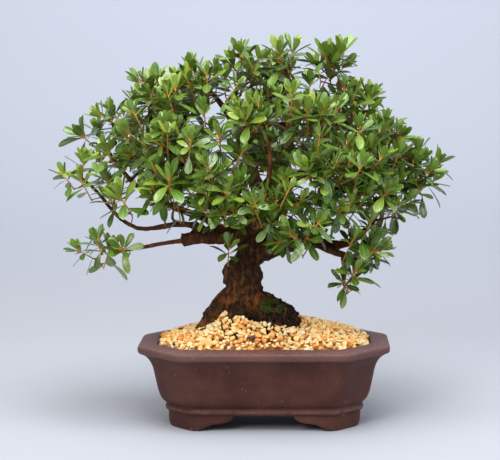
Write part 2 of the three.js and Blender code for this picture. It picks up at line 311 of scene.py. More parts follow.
def relax(piece: Piece, factor: float, rounds: int) -> None:
    """Evens out the small steps of a mesh.

    Args:
        piece: The piece.
        factor: Strength of one round, from 0 to 1.
        rounds: Number of rounds.
    """
    modifier = piece.modifiers.new("relax", "SMOOTH")
    modifier.factor = factor
    modifier.iterations = rounds
    apply_modifiers(piece)


def copy_nodes(name: str, names: Sequence[str], grow: float) -> Piece:
    """One object made of copies of CAD nodes, swollen a little so that neighbours meet.

    Args:
        name: Name of the new object.
        names: CAD nodes to copy.
        grow: How far each vertex moves outwards, in metres.

    Returns:
        The new object.
    """
    points: list[Array] = []
    faces: list[list[int]] = []
    start = 0
    for node in names:
        source = frame["nodes"][node].data.copy()
        merge = bmesh.new()
        merge.from_mesh(source)
        bmesh.ops.remove_doubles(merge, verts=merge.verts, dist=0.02 * MM)
        merge.to_mesh(source)
        merge.free()
        points.append(mesh_points(source) + grow * mesh_normals(source))
        faces.extend([start + i for i in p.vertices] for p in source.polygons)
        start += len(source.vertices)
        bpy.data.meshes.remove(source)
    return new_piece(name, np.concatenate(points), faces)


@dataclass
class Batch:
    """Many small closed shapes gathered into one mesh, with values stored at their vertices."""

    points: list[Array] = field(default_factory=list)
    faces: list[Array] = field(default_factory=list)
    values: dict[str, list[Array]] = field(default_factory=dict)
    count: int = 0

    def add(self, points: Array, faces: Array, **values: Array | float) -> None:
        """Adds one shape; a value may be one number for all of its vertices.

        Args:
            points: Vertices in metres.
            faces: Vertex numbers of its faces.
            values: Values to store, by name.
        """
        self.points.append(points)
        self.faces.append(faces + self.count)
        self.count += len(points)
        for name, value in values.items():
            held = value if isinstance(value, Array) else np.full(len(points), value)
            self.values.setdefault(name, []).append(held)

    def piece(self, name: str, material: Material) -> Piece:
        """Makes the mesh of all the shapes added so far.

        Args:
            name: Name of the piece.
            material: Its finish.

        Returns:
            The new object.
        """
        made = new_piece(name, np.concatenate(self.points), np.concatenate(self.faces), material)
        for value_name, parts in self.values.items():
            add_values(made.data, value_name, np.concatenate(parts))
        return made


def tube(path: Array, radii: Array, sides: int) -> tuple[Array, Array]:
    """Closed round tube along a path.

    Args:
        path: Points along the middle.
        radii: Radius at each of these points.
        sides: Number of sides.

    Returns:
        Vertices and triangles.
    """
    count = len(path)
    along = unit(np.gradient(path, axis=0))
    across = np.zeros_like(path)
    start = np.cross(along[0], UP if abs(along[0][2]) < 0.9 else np.array([1.0, 0.0, 0.0]))
    for i in range(count):
        start = start - along[i] * np.dot(start, along[i])
        start = start / max(np.linalg.norm(start), 1e-9)
        across[i] = start
    other = np.cross(along, across)
    turn = np.arange(sides) * (2 * math.pi / sides)
    ring = np.cos(turn)[None, :, None] * across[:, None, :]
    ring = ring + np.sin(turn)[None, :, None] * other[:, None, :]
    points = (path[:, None, :] + radii[:, None, None] * ring).reshape(-1, 3)
    foot = path[:1] - along[:1] * radii[0] * 0.5
    tip = path[-1:] + along[-1:] * radii[-1] * 0.8
    points = np.concatenate([points, foot, tip])
    near = np.arange(count - 1)[:, None] * sides + np.arange(sides)[None, :]
    beside = np.arange(count - 1)[:, None] * sides + (np.arange(sides)[None, :] + 1) % sides
    walls = [
        np.stack([near, beside, beside + sides], -1).reshape(-1, 3),
        np.stack([near, beside + sides, near + sides], -1).reshape(-1, 3),
    ]
    first = np.arange(sides)
    following = (first + 1) % sides
    last = (count - 1) * sides
    ends = [
        np.stack([np.full(sides, count * sides), following, first], -1),
        np.stack([np.full(sides, count * sides + 1), last + first, last + following], -1),
    ]
    return points, np.concatenate(walls + ends)


def hermite(start: Array, way_out: Array, end: Array, way_in: Array, count: int) -> Array:
    """Smooth curve from start to end that leaves and arrives along two directions.

    Args:
        start: First point.
        way_out: Tangent at the start, as long as its pull.
        end: Last point.
        way_in: Tangent at the end, as long as its pull.
        count: Number of points.

    Returns:
        The points, one row each.
    """
    t = np.linspace(0, 1, count)[:, None]
    return (
        (2 * t**3 - 3 * t**2 + 1) * start
        + (t**3 - 2 * t**2 + t) * way_out
        + (3 * t**2 - 2 * t**3) * end
        + (t**3 - t**2) * way_in
    )


# ---------------- finishes


class Graph:
    """The nodes of one material, added and linked by short calls."""

    # The colour sockets of a mix node share their names with others, so they go by place.
    MIX_FIRST = 6
    MIX_SECOND = 7
    MIX_RESULT = 2

    def __init__(self, name: str) -> None:
        """Starts an empty material that ends in a Principled shader.

        Args:
            name: Name of the material.
        """
        self.material = bpy.data.materials.new(name)
        self.material.use_nodes = True
        self.nodes = self.material.node_tree.nodes
        self.links = self.material.node_tree.links
        self.shader = self.nodes["Principled BSDF"]
        self.place = self.nodes.new("ShaderNodeTexCoord").outputs["Object"]

    def feed(self, value: Socket | float | Colour, into: Socket) -> None:
        """Links a socket, or sets a constant, on an input.

        Args:
            value: Socket, number or colour.
            into: The input.
        """
        if isinstance(value, Socket):
            self.links.new(value, into)
        else:
            into.default_value = value

    def add(
        self, kind: str, output: str | int, inputs: dict[str | int, Socket | float | Colour], **options: str
    ) -> Socket:
        """Adds one node.

        Args:
            kind: Its type.
            output: The output to return, by name or place.
            inputs: Sockets or constants for its inputs, by name or place.
            options: The node's own settings.

        Returns:
            The output.
        """
        node = self.nodes.new("ShaderNode" + kind)
        for name, value in options.items():
            setattr(node, name, value)
        for place, value in inputs.items():
            self.feed(value, node.inputs[place])
        return node.outputs[output]

    def stretched(self, scale: Triple) -> Socket:
        """Object coordinates, drawn out along an axis where its scale is below 1."""
        return self.add("Mapping", "Vector", {"Vector": self.place, "Scale": scale})

    def noise(
        self, size: float, detail: float = 3, rough: float = 0.55, place: Socket | None = None
    ) -> Socket:
        """Noise from 0 to 1 with lumps of a size in metres."""
        inputs = {"Vector": place or self.place, "Scale": 1 / size, "Detail": detail, "Roughness": rough}
        return self.add("TexNoise", "Fac", inputs)

    def cells(self, size: float) -> Socket:
        """Distance to the nearest of scattered points, a size in metres apart."""
        return self.add("TexVoronoi", "Distance", {"Vector": self.place, "Scale": 1 / size})

    def stored(self, name: str, output: str = "Fac") -> Socket:
        """Value that the mesh holds for each vertex under a name."""
        return self.add("Attribute", output, {}, attribute_name=name)

    def ramp(self, factor: Socket, stops: Sequence[tuple[float, Colour]]) -> Socket:
        """Colours blended along a factor.

        Args:
            factor: Where to look, from 0 to 1.
            stops: Position and colour of each stop.

        Returns:
            The colour.
        """
        node = self.nodes.new("ShaderNodeValToRGB")
        elements = node.color_ramp.elements
        while len(elements) < len(stops):
            elements.new(0.5)
        for element, (position, tint) in zip(elements, stops):
            element.position = position
            element.color = tint
        self.links.new(factor, node.inputs["Fac"])
        return node.outputs["Color"]

    def between(
        self, factor: Socket, low: float, high: float, to_low: float = 0, to_high: float = 1
    ) -> Socket:
        """A factor spread from one range to another and held at its ends."""
        ends = {"From Min": low, "From Max": high, "To Min": to_low, "To Max": to_high}
        return self.add("MapRange", "Result", {"Value": factor, **ends})

    def maths(self, operation: str, a: Socket | float, b: Socket | float = 0.0) -> Socket:
        """Two numbers joined by one operation."""
        return self.add("Math", 0, {0: a, 1: b}, operation=operation)

    def mix(self, factor: Socket | float, a: Socket | Colour, b: Socket | Colour) -> Socket:
        """Two colours mixed by a factor."""
        inputs = {"Factor": factor, self.MIX_FIRST: a, self.MIX_SECOND: b}
        return self.add("Mix", self.MIX_RESULT, inputs, data_type="RGBA")

    def relief(
        self, height: Socket, depth: float, strength: float = 1.0, under: Socket | None = None
    ) -> Socket:
        """Normal of a bumpy surface, depth in metres, laid over another relief."""
        inputs = {"Height": height, "Distance": depth, "Strength": strength}
        return self.add("Bump", "Normal", inputs if under is None else {**inputs, "Normal": under})

    def finish(
        self,
        tint: Socket | Colour,
        rough: Socket | float,
        normal: Socket | None = None,
        constants: dict[str, float] | None = None,
    ) -> Material:
        """Connects the shader.

        Args:
            tint: Base colour.
            rough: Roughness.
            normal: Relief, if the surface has one.
            constants: Numbers that are the same all over, by the shader's own input names.

        Returns:
            The finished material.
        """
        self.feed(tint, self.shader.inputs["Base Color"])
        self.feed(rough, self.shader.inputs["Roughness"])
        if normal is not None:
            self.links.new(normal, self.shader.inputs["Normal"])
        for name, value in (constants or {}).items():
            self.shader.inputs[name].default_value = value
        return self.material


@dataclass(frozen=True)
class ClayFinish:
    """Unglazed purple-brown stoneware with fine pits, rubbed edges and a dusty foot."""

    body: Colour = colour("4a251c")
    shade: Colour = colour("391b14")
    bloom: Colour = colour("5c382c")
    rub: Colour = colour("86675f")
    fleck: Colour = colour("b39a8a")
    lip_grey: Colour = colour("7d6062")

    def material(self) -> Material:
        """Builds the material.

        Returns:
            The material.
        """
        g = Graph("unglazed_clay")
        clouds = g.noise(45 * MM, 4, 0.6)
        tint = g.ramp(clouds, [(0.3, self.shade), (0.5, self.body), (0.72, self.bloom)])
        streaks = g.noise(9 * MM, 5, 0.7, g.stretched((1, 1, 0.35)))
        tint = g.mix(g.between(streaks, 0.5, 0.8, 0, 0.3), tint, self.bloom)
        worn = g.maths("MULTIPLY", g.stored("rub"), g.between(g.noise(5 * MM, 4, 0.7), 0.35, 0.65))
        tint = g.mix(g.maths("MULTIPLY", worn, 0.55), tint, self.rub)
        grit = g.between(g.noise(0.55 * MM, 2, 0.5), 0.35, 0.65, -0.5, 0.5)
        tint = g.mix(g.between(grit, -0.5, 0.5, 0.0, 0.16), tint, self.shade)
        # The lip band is mixed a little towards a paler grey.
        tint = g.mix(g.maths("MULTIPLY", g.stored("lip"), 0.26), tint, self.lip_grey)
        scuffs = g.between(g.noise(2.2 * MM, 3, 0.6, g.stretched((0.6, 1, 1.0))), 0.66, 0.73)
        sparse = g.between(g.noise(21 * MM, 2, 0.5), 0.5, 0.6)
        specks = g.between(g.cells(10 * MM), 0.075, 0.05)
        marks = g.maths("MAXIMUM", g.maths("MULTIPLY", scuffs, sparse), specks)
        tint = g.mix(g.maths("MULTIPLY", marks, 0.5), tint, self.fleck)
        rough = g.between(clouds, 0.3, 0.7, 0.5, 0.66)
        coarse = g.relief(g.noise(3 * MM, 3, 0.5), 0.25 * MM, 0.35)
        fine = g.relief(g.noise(0.6 * MM, 3, 0.6), 0.08 * MM, 0.5, coarse)
        return g.finish(tint, rough, fine, {"Specular IOR Level": 0.3})


@dataclass(frozen=True)
class GrainFinish:
    """Dry baked clay grain: chalky, with a tint of its own and painted shade in its pores."""

    name: str
    light: Colour
    middle: Colour
    deep: Colour

    def material(self) -> Material:
        """Builds the material.

        Returns:
            The material.
        """
        g = Graph(self.name)
        own = g.stored("tint")
        tint = g.ramp(own, [(0.0, self.deep), (0.45, self.middle), (1.0, self.light)])
        patches = g.between(g.noise(2.2 * MM, 4, 0.65), 0.4, 0.75, 0, 0.36)
        tint = g.mix(patches, tint, self.deep)
        # Dark spots round scattered points: painted shade in pores that the mesh does not have.
        pores = g.between(g.cells(0.9 * MM), 0.25, 0.1, 0, 0.22)
        tint = g.mix(pores, tint, self.deep)
        bump = g.relief(g.noise(0.8 * MM, 4, 0.65), 0.35 * MM, 0.7)
        return g.finish(tint, 0.88, bump, {"Specular IOR Level": 0.25})


@dataclass(frozen=True)
class BarkFinish:
    """Dark rough bark with reddish old patches, grey-green lichen and moss low on the roots."""

    name: str = "bark"
    deep: Colour = colour("110a05")
    body: Colour = colour("36210f")
    ridge: Colour = colour("694828")
    rust: Colour = colour("b0642c")
    lichen: Colour = colour("6c5a32")
    limb: Colour = colour("764329")
    moss: Colour = colour("454d16")

    def material(self) -> Material:
        """Builds the material.

        Returns:
            The material.
        """
        g = Graph(self.name)
        along = g.stretched((1, 1, 0.45))
        furrows = g.noise(5 * MM, 6, 0.68, along)
        # The colour follows the relief's own furrows: dark in them, partly the bark's colour and partly
        # painted shade, and paler on the ridges.
        tint = g.ramp(furrows, [(0.32, self.deep), (0.5, self.body), (0.68, self.ridge)])
        reddish = g.maths("MULTIPLY", g.stored("slim"), g.between(furrows, 0.32, 0.6, 0.1, 0.6))
        tint = g.mix(reddish, tint, self.limb)
        rust = g.between(g.noise(17 * MM, 4, 0.6), 0.46, 0.6)
        rust = g.maths("MULTIPLY", rust, g.between(furrows, 0.36, 0.56))
        tint = g.mix(g.maths("MULTIPLY", g.maths("MULTIPLY", rust, g.stored("old")), 0.8), tint, self.rust)
        lichen = g.between(g.noise(8 * MM, 5, 0.7), 0.58, 0.7, 0, 0.45)
        tint = g.mix(g.maths("MULTIPLY", lichen, g.stored("old")), tint, self.lichen)
        tufts = g.between(g.noise(6 * MM, 5, 0.75), 0.42, 0.58)
        tint = g.mix(g.maths("MULTIPLY", tufts, g.stored("mossy")), tint, self.moss)
        soiled = g.maths("MULTIPLY", g.stored("soiled"), g.between(g.noise(3 * MM, 4, 0.7), 0.3, 0.5))
        tint = g.mix(soiled, tint, self.deep)
        deep = g.relief(furrows, 1.3 * MM, 0.9)
        fine = g.relief(g.noise(1.1 * MM, 5, 0.7, along), 0.35 * MM, 0.7, deep)
        return g.finish(tint, 0.86, fine, {"Specular IOR Level": 0.2})


@dataclass(frozen=True)
class TwigFinish:
    """Thin reddish-brown bark of twigs, turning golden green on the youngest shoots."""

    name: str
    old: Colour
    young: Colour

    def material(self) -> Material:
        """Builds the material.

        Returns:
            The material.
        """
        g = Graph(self.name)
        tint = g.ramp(g.stored("age"), [(0.0, self.young), (1.0, self.old)])
        tint = g.mix(g.between(g.noise(2 * MM, 4, 0.6), 0.4, 0.7, 0, 0.5), tint, self.old)
        bump = g.relief(g.noise(0.9 * MM, 4, 0.6), 0.25 * MM, 0.6)
        return g.finish(tint, 0.6, bump, {"Specular IOR Level": 0.4})


@dataclass(frozen=True)
class LeafFinish:
    """Waxy evergreen leaf: deep green to yellow green, a pale midrib, golden towards its stalk."""

    dark: Colour = colour("244614")
    middle: Colour = colour("557f20")
    fresh: Colour = colour("9db23a")
    old: Colour = colour("26411f")
    under: Colour = colour("759138")
    stalk: Colour = colour("d98f28")
    rim: Colour = colour("a3a640")

    def material(self) -> Material:
        """Builds the material.

        Returns:
            The material.
        """
        g = Graph("leaf")
        place = g.stored("leaf", "Vector")
        across, along, top = (g.add("SeparateXYZ", axis, {"Vector": place}) for axis in "XYZ")
        own = g.stored("tint")
        tint = g.ramp(own, [(0.0, self.old), (0.3, self.dark), (0.62, self.middle), (1.0, self.fresh)])
        blotch = g.between(g.noise(4 * MM, 3, 0.5), 0.35, 0.7, 0, 0.35)
        tint = g.mix(blotch, tint, self.dark)
        side = g.maths("ABSOLUTE", across)
        veins = self.vein_lines(g, side, along)
        tint = g.mix(g.maths("MULTIPLY", veins, 0.22), tint, self.fresh)
        rim = g.between(side, 0.86, 1.0, 0, 0.45)
        tint = g.mix(rim, tint, self.rim)
        tint = g.mix(g.between(top, 0.5, 0.3, 0, 0.75), tint, self.under)
        tint = g.mix(g.between(side, 0.1, 0.02, 0, 0.6), tint, self.fresh)
        young = g.stored("youth")
        reach = g.between(young, 0, 1, 0.12, 0.42)
        golden = g.between(g.maths("DIVIDE", along, reach), 1.0, 0.25, 0, 0.85)
        tint = g.mix(golden, tint, self.stalk)
        cushion = g.maths("ADD", g.maths("MULTIPLY", veins, -0.5), g.noise(1.3 * MM, 2, 0.5))
        bump = g.relief(cushion, 0.18 * MM, 0.5)
        rough = g.between(g.noise(3 * MM, 2, 0.5), 0.3, 0.7, 0.28, 0.44)
        wax = {"Specular IOR Level": 0.65, "Coat Weight": 0.3, "Coat Roughness": 0.22}
        return g.finish(tint, rough, bump, wax)

    def vein_lines(self, g: Graph, side: Socket, along: Socket) -> Socket:
        """Side veins that leave the midrib forwards.

        Args:
            g: The material's nodes.
            side: Distance from the midrib, 1 at the rim.
            along: Distance from the stalk, 1 at the tip.

        Returns:
            1 on a vein and 0 between veins.
        """
        slanted = g.maths("SUBTRACT", g.maths("MULTIPLY", along, 8.0), g.maths("MULTIPLY", side, 1.6))
        wave = g.maths("ABSOLUTE", g.maths("SUBTRACT", g.maths("FRACT", slanted), 0.5))
        return g.between(wave, 0.1, 0.0)


@dataclass(frozen=True)
class MatFinish:
    """Crumbly or fibrous matter in three tones: old soil, fine roots, moss."""

    name: str
    deep: Colour
    body: Colour
    light: Colour
    lump: float = 1.5 * MM
    depth: float = 0.6 * MM

    def material(self) -> Material:
        """Builds the material.

        Returns:
            The material.
        """
        g = Graph(self.name)
        lumps = g.noise(self.lump, 5, 0.7)
        # The colour follows the relief's own lumps: darkest in the hollows, partly the matter's own colour
        # and partly painted shade.
        tint = g.ramp(lumps, [(0.3, self.deep), (0.52, self.body), (0.75, self.light)])
        tint = g.mix(g.between(g.noise(6 * self.lump, 3, 0.5), 0.4, 0.7, 0, 0.5), tint, self.deep)
        return g.finish(tint, 0.92, g.relief(lumps, self.depth, 0.9), {"Specular IOR Level": 0.2})


@dataclass(frozen=True)
class PlasticFinish:
    """Moulded black plastic with a fine grain."""

    body: Colour = colour("1d1d1c")
    grey: Colour = colour("3a3a38")

    def material(self) -> Material:
        """Builds the material.

        Returns:
            The material.
        """
        g = Graph("screen_plastic")
        tint = g.ramp(g.noise(1.5 * MM, 3), [(0.35, self.body), (0.8, self.grey)])
        return g.finish(tint, 0.5, g.relief(g.noise(0.4 * MM, 2), 0.05 * MM, 0.4))


@dataclass(frozen=True)
class WireFinish:
    """Soft aluminium wire with a dull bronze colour."""

    body: Colour = colour("7d6a50")
    dull: Colour = colour("4f4436")

    def material(self) -> Material:
        """Builds the material.

        Returns:
            The material.
        """
        g = Graph("screen_wire")
        tint = g.ramp(g.noise(2 * MM, 3), [(0.4, self.body), (0.75, self.dull)])
        return g.finish(tint, g.between(g.noise(1 * MM), 0.3, 0.7, 0.3, 0.5), None, {"Metallic": 1.0})


@dataclass(frozen=True)
class FloorFinish:
    """Plain pale studio floor."""

    body: Colour = colour("a8acb5")

    def material(self) -> Material:
        """Builds the material."""
        return Graph("studio_floor").finish(self.body, 0.9, None, {"Specular IOR Level": 0.1})


# ---------------- the pot


def cut_corner_outline(
    width: float, depth: float, cut: float, inset: float, soft: float, centre: tuple[float, float]
) -> Array:
    """Ring round a rectangle with cut and softened corners.

    Args:
        width: Length along X.
        depth: Length along Y.
        cut: Length that each corner cut takes from a side.
        inset: How far the ring lies inside the rectangle.
        soft: How far the rounding of a corner reaches along its sides.
        centre: Middle of the ring.

    Returns:
        The ring's points, turning left seen from above, always the same number of them.
    """
    half_x = width / 2 - inset
    half_y = depth / 2 - inset
    leg = cut - (2 - math.sqrt(2)) * inset
    corners = np.array(
        [
            (half_x, -half_y + leg),
            (half_x, half_y - leg),
            (half_x - leg, half_y),
            (-half_x + leg, half_y),
            (-half_x, half_y - leg),
            (-half_x, -half_y + leg),
            (-half_x + leg, -half_y),
            (half_x - leg, -half_y),
        ]
    )
    steps_to_next = (18, 10, 38, 10, 18, 10, 38, 10)
    ring: list[Array] = []
    for i, corner in enumerate(corners):
        before = unit(corners[i - 1] - corner)
        after = unit(corners[(i + 1) % 8] - corner)
        for share in np.linspace(0, 1, 7):
            near = corner + before * soft * (1 - share)
            far = corner + after * soft * share
            ring.append(near * (1 - share) + far * share)
        start = corner + after * soft
        end = corners[(i + 1) % 8] - after * soft
        for share in np.linspace(0, 1, steps_to_next[i] + 1)[1:-1]:
            ring.append(start * (1 - share) + end * share)
    return np.array(ring) + np.array(centre)


def rounded_profile(profile: Sequence[tuple[float, float]], rounds: int) -> list[tuple[float, float]]:
    """Open profile with its corners cut again and again, in the profile's own unit.

    Args:
        profile: Its points.
        rounds: How often the corners are cut.

    Returns:
        The softer profile, with the same ends.
    """
    line = list(profile)
    for _ in range(rounds):
        softer = [line[0]]
        for (ax, ay), (bx, by) in zip(line, line[1:]):
            softer.append((ax * 0.75 + bx * 0.25, ay * 0.75 + by * 0.25))
            softer.append((ax * 0.25 + bx * 0.75, ay * 0.25 + by * 0.75))
        softer.append(line[-1])
        line = softer
    return line


@dataclass(frozen=True)
class CloudOpening:
    """Half of the cloud-shaped gap between two feet, in millimetres from its middle."""

    top: float
    shoulder: float
    bottom: float
    shoulder_height: float
    roof: float = 15.3

    def half_curve(self) -> list[tuple[float, float]]:
        """Points from the ground, over the shoulder, up to the roof.

        Returns:
            The points, in millimetres from the middle and from the ground.
        """
        low = [(self.bottom, 0.0), (self.bottom - 1.5, 0.25)]
        middle = ((self.bottom + self.shoulder) / 2, 0.6)
        for share in np.linspace(0.15, 1, 8):
            x = (1 - share) ** 2 * self.bottom + 2 * share * (1 - share) * middle[0]
            x += share**2 * self.shoulder
            z = 2 * share * (1 - share) * middle[1] + share**2 * self.shoulder_height
            low.append((float(x), float(z)))
        for share in np.linspace(0.1, 1, 10):
            x = (
                (1 - share) ** 3 * self.shoulder
                + 3 * share * (1 - share) ** 2 * (self.top + 8)
                + 3 * share**2 * (1 - share) * (self.top + 2)
                + share**3 * self.top
            )
            z = (
                (1 - share) ** 3 * self.shoulder_height
                + 3 * share * (1 - share) ** 2 * 7
                + 3 * share**2 * (1 - share) * 9
                + share**3 * self.roof
            )
            low.append((float(x), float(z)))
        return low


@dataclass
class ClayPot:
    """The footed rectangular pot with cut corners, a wide lip and cloud-shaped feet."""

    finish: ClayFinish = ClayFinish()
    width: float = 240 * MM
    depth: float = 145 * MM
    corner_cut: float = 40 * MM
    corner_reach: float = 7 * MM
    floor_under: float = 15.3 * MM
    foot_inset: float = 28 * MM
    foot_thickness: float = 10 * MM
    foot_skin: float = 0.8 * MM
    drain_radius: float = 8 * MM
    drain_offset: float = 46 * MM
    drain_flare: Pairs = (
        (1.35, 14), (1.12, 15.6), (1.0, 17), (1.0, 22), (1.12, 23.6), (1.4, 26),
    )
    unevenness: float = 0.28 * MM
    lip_foot: float = 71.5
    worn_edges: tuple[Triple, ...] = (
        (79.3, 1.2, 1.0), (72.6, 0.9, 0.8), (18.6, 1.6, 0.8), (0.0, 1.6, 1.0),
    )
    outside: Pairs = (
        (28, 15.3), (26.6, 15.6), (25.6, 16.6), (25.0, 18.0), (24.9, 19.4), (25.4, 20.8),
        (26.3, 21.9), (26.4, 22.5), (25.4, 23.4), (23.2, 25.2), (21.0, 28.0), (19.2, 32.5),
        (17.6, 38.5), (16.3, 44.5), (15.2, 50.5), (14.2, 56.0), (12.9, 60.2), (11.0, 64.2),
        (8.6, 67.6), (5.6, 70.2), (2.8, 71.8), (1.2, 72.4), (0.4, 73.0), (0, 74.2), (0, 77.2),
        (0.3, 78.4), (1.2, 79.2), (3.4, 79.6), (9, 80.3), (14.4, 81.0), (16.4, 80.9),
    )
    inside: Pairs = (
        (17.4, 80.4), (18.0, 79.4), (18.6, 77.5), (20.2, 70), (22, 60), (25.6, 43),
        (30, 29), (32.2, 25.6), (36, 24.2), (42, 24),
    )
    front_opening: CloudOpening = CloudOpening(27.5, 50, 67, 6)
    side_opening: CloudOpening = CloudOpening(9, 17, 25, 6)

    def __post_init__(self) -> None:
        """Finds the pot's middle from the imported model."""
        self.centre = tuple(box_middle("pot")[:2])

    def outline(self, inset: float, height: float) -> Array:
        """One ring of the pot's form, in metres.

        Args:
            inset: How far it lies inside the lip's edge.
            height: Its height.

        Returns:
            The ring's points.
        """
        flat = cut_corner_outline(
            self.width, self.depth, self.corner_cut, inset, self.corner_reach, self.centre
        )
        return np.column_stack([flat, np.full(len(flat), height)])

    def skin(self, name: str, rings: list[Array]) -> Piece:
        """Closed solid through a stack of rings, with flat ends.

        Args:
            name: Name of the piece.
            rings: Rings with equally many points, in order.

        Returns:
            The solid.
        """
        count = len(rings[0])
        start = np.arange(len(rings) - 1)[:, None] * count
        here = np.arange(count)[None, :]
        beside = (here + 1) % count
        walls = np.stack([start + here, start + beside, start + beside + count, start + here + count], -1)
        faces: list[Sequence[int]] = walls.reshape(-1, 4).tolist()
        last = (len(rings) - 1) * count
        faces.append(list(range(count))[::-1])
        faces.append([last + i for i in range(count)])
        return new_piece(name, np.concatenate(rings), faces)

    def bowl(self) -> Piece:
        """The bowl with its lip and its bead, open at the top."""
        profile = rounded_profile(self.outside, 1)[:-1] + rounded_profile(self.inside, 1)
        return self.skin("clay_pot", [self.outline(inset * MM, height * MM) for inset, height in profile])

    def prism(self, opening: CloudOpening, along_x: bool) -> Piece:
        """Block in the shape of a cloud opening that passes right through the pot.

        Args:
            opening: Shape of the opening.
            along_x: Whether it runs along X and not along Y.

        Returns:
            The block.
        """
        half = [(x * MM, z * MM) for x, z in opening.half_curve()]
        curve = half + [(-x, z) for x, z in half[::-1]]
        curve = [(half[0][0], -3 * MM)] + curve + [(-half[0][0], -3 * MM)]
        points = []
        for side in (-self.width, self.width):
            for x, z in curve:
                place = (side, x, z) if along_x else (x, side, z)
                points.append((place[0] + self.centre[0], place[1] + self.centre[1], z))
        count = len(curve)
        faces: list[list[int]] = []
        for i in range(count):
            beside = (i + 1) % count
            faces.append([i, beside, beside + count, i + count])
        faces.append(list(range(count))[::-1])
        faces.append([count + i for i in range(count)])
        made = new_piece("opening_block", np.array(points), faces)
        self.face_out(made)
        return made

    def face_out(self, piece: Piece) -> None:
        """Turns all faces of a closed piece outwards.

        Args:
            piece: The piece.
        """
        work = bmesh.new()
        work.from_mesh(piece.data)
        bmesh.ops.recalc_face_normals(work, faces=work.faces)
        work.to_mesh(piece.data)
        work.free()

    def feet(self) -> Piece:
        """The four feet, with soft worn edges.

        Returns:
            The feet as one piece, closed above.
        """
        base = self.foot_inset
        outer = [
            (base + 1.3 * MM, 0),
            (base + 0.5 * MM, 0.5 * MM),
            (base, 2 * MM),
            (base - 0.2 * MM, 8 * MM),
            (base, self.floor_under + 1.5 * MM),
        ]
        inner = base + self.foot_thickness
        feet = self.skin("feet", [self.outline(inset, height) for inset, height in outer])
        core_heights = (-1 * MM, self.floor_under + 3 * MM)
        core = self.skin("core", [self.outline(inner, height) for height in core_heights])
        boolean(feet, core, "DIFFERENCE")
        boolean(feet, self.prism(self.front_opening, False), "DIFFERENCE")
        boolean(feet, self.prism(self.side_opening, True), "DIFFERENCE")
        voxel_remesh(feet, self.foot_skin)
        relax(feet, 0.5, 4)
        points = mesh_points(feet.data)
        points[:, 2] = np.maximum(points[:, 2], 0)
        set_points(feet.data, points)
        return feet

    def drain(self, side: int) -> Piece:
        """Round block in the place of one drain hole.

        Args:
            side: -1 for the left hole, 1 for the right one.

        Returns:
            The block, flared at both ends.
        """
        turn = np.linspace(0, 2 * math.pi, 41)[:-1]
        ring = np.column_stack([np.cos(turn), np.sin(turn), np.zeros(40)]) * self.drain_radius
        middle = np.array([self.centre[0] + side * self.drain_offset, self.centre[1], 0])
        rings = [ring * share + middle + UP * height * MM for share, height in self.drain_flare]
        return self.skin("drain", rings)

    def build(self) -> None:
        """Models and dresses the pot."""
        pot = self.bowl()
        boolean(pot, self.feet(), "UNION")
        for side in (-1, 1):
            boolean(pot, self.drain(side), "DIFFERENCE")
        points = mesh_points(pot.data)
        normals = mesh_normals(pot.data)
        lumps = smooth_noise(points, 26 * MM, 1) + 0.5 * smooth_noise(points, 9 * MM, 2)
        free = np.clip(points[:, 2] / (2 * MM), 0, 1)
        set_points(pot.data, points + normals * (lumps * free * self.unevenness)[:, None])
        height = points[:, 2] / MM
        rub = np.zeros(len(height))
        for edge, reach, strength in self.worn_edges:
            rub += strength * np.exp(-(((height - edge) / reach) ** 2))
        add_values(pot.data, "rub", np.clip(rub, 0, 1))
        add_values(pot.data, "lip", np.clip((height - self.lip_foot) / 2, 0, 1))
        pot.data.materials.clear()
        pot.data.materials.append(self.finish.material())
        pot.data.shade_smooth()
        pot.data.set_sharp_from_angle(angle=math.radians(50))
        finish_piece(pot, "unglazed_clay", "pot")


# ---------------- what fills the pot


class GrainKind(Enum):
    """The sorts of baked clay grain."""

    CREAM = "cream"
    GOLD = "gold"
    AMBER = "amber"
    DARK = "dark"


GRAIN_FINISHES: dict[GrainKind, GrainFinish] = {
    GrainKind.CREAM: GrainFinish("grain_cream", colour("fff3d0"), colour("ffe7b4"), colour("f2c684")),
    GrainKind.GOLD: GrainFinish("grain_gold", colour("ffe8b0"), colour("ffd78e"), colour("f0b262")),
    GrainKind.AMBER: GrainFinish("grain_amber", colour("ffcd85"), colour("fab25c"), colour("db8f3e")),
    GrainKind.DARK: GrainFinish("grain_dark", colour("6a665c"), colour("45423c"), colour("282623")),
}
GRAIN_SHARES: dict[GrainKind, float] = {
    GrainKind.CREAM: 0.32,
    GrainKind.GOLD: 0.455,
    GrainKind.AMBER: 0.2,
    GrainKind.DARK: 0.025,
}


def ball(rounds: int) -> tuple[Array, Array]:
    """Vertices and triangles of an even ball of radius one.

    Args:
        rounds: How often its triangles are split.

    Returns:
        Vertices and triangles.
    """
    work = bmesh.new()
    bmesh.ops.create_icosphere(work, subdivisions=rounds, radius=1.0)
    points = np.array([v.co[:] for v in work.verts])
    faces = np.array([[v.index for v in f.verts] for f in work.faces])
    work.free()
    return points, faces


def turned(rng: Chance) -> Array:
    """Matrix of a turn to any direction.

    Args:
        rng: Source of the chance values.

    Returns:
        The matrix.
    """
    q = unit(rng.normal(size=4))
    w, x, y, z = q
    return np.array(
        [
            [1 - 2 * (y * y + z * z), 2 * (x * y - w * z), 2 * (x * z + w * y)],
            [2 * (x * y + w * z), 1 - 2 * (x * x + z * z), 2 * (y * z - w * x)],
            [2 * (x * z - w * y), 2 * (y * z + w * x), 1 - 2 * (x * x + y * y)],
        ]
    )


@dataclass(frozen=True)
class Heap:
    """Grains piled higher: place from the pot's middle, reach and height, in millimetres."""

    x: float
    y: float
    reach_x: float
    reach_y: float
    height: float


@dataclass(frozen=True)
class Pour:
    """One pour of grains: their size against the usual one, most tries and most failed tries."""

    scale: float
    tries: int
    misses: int


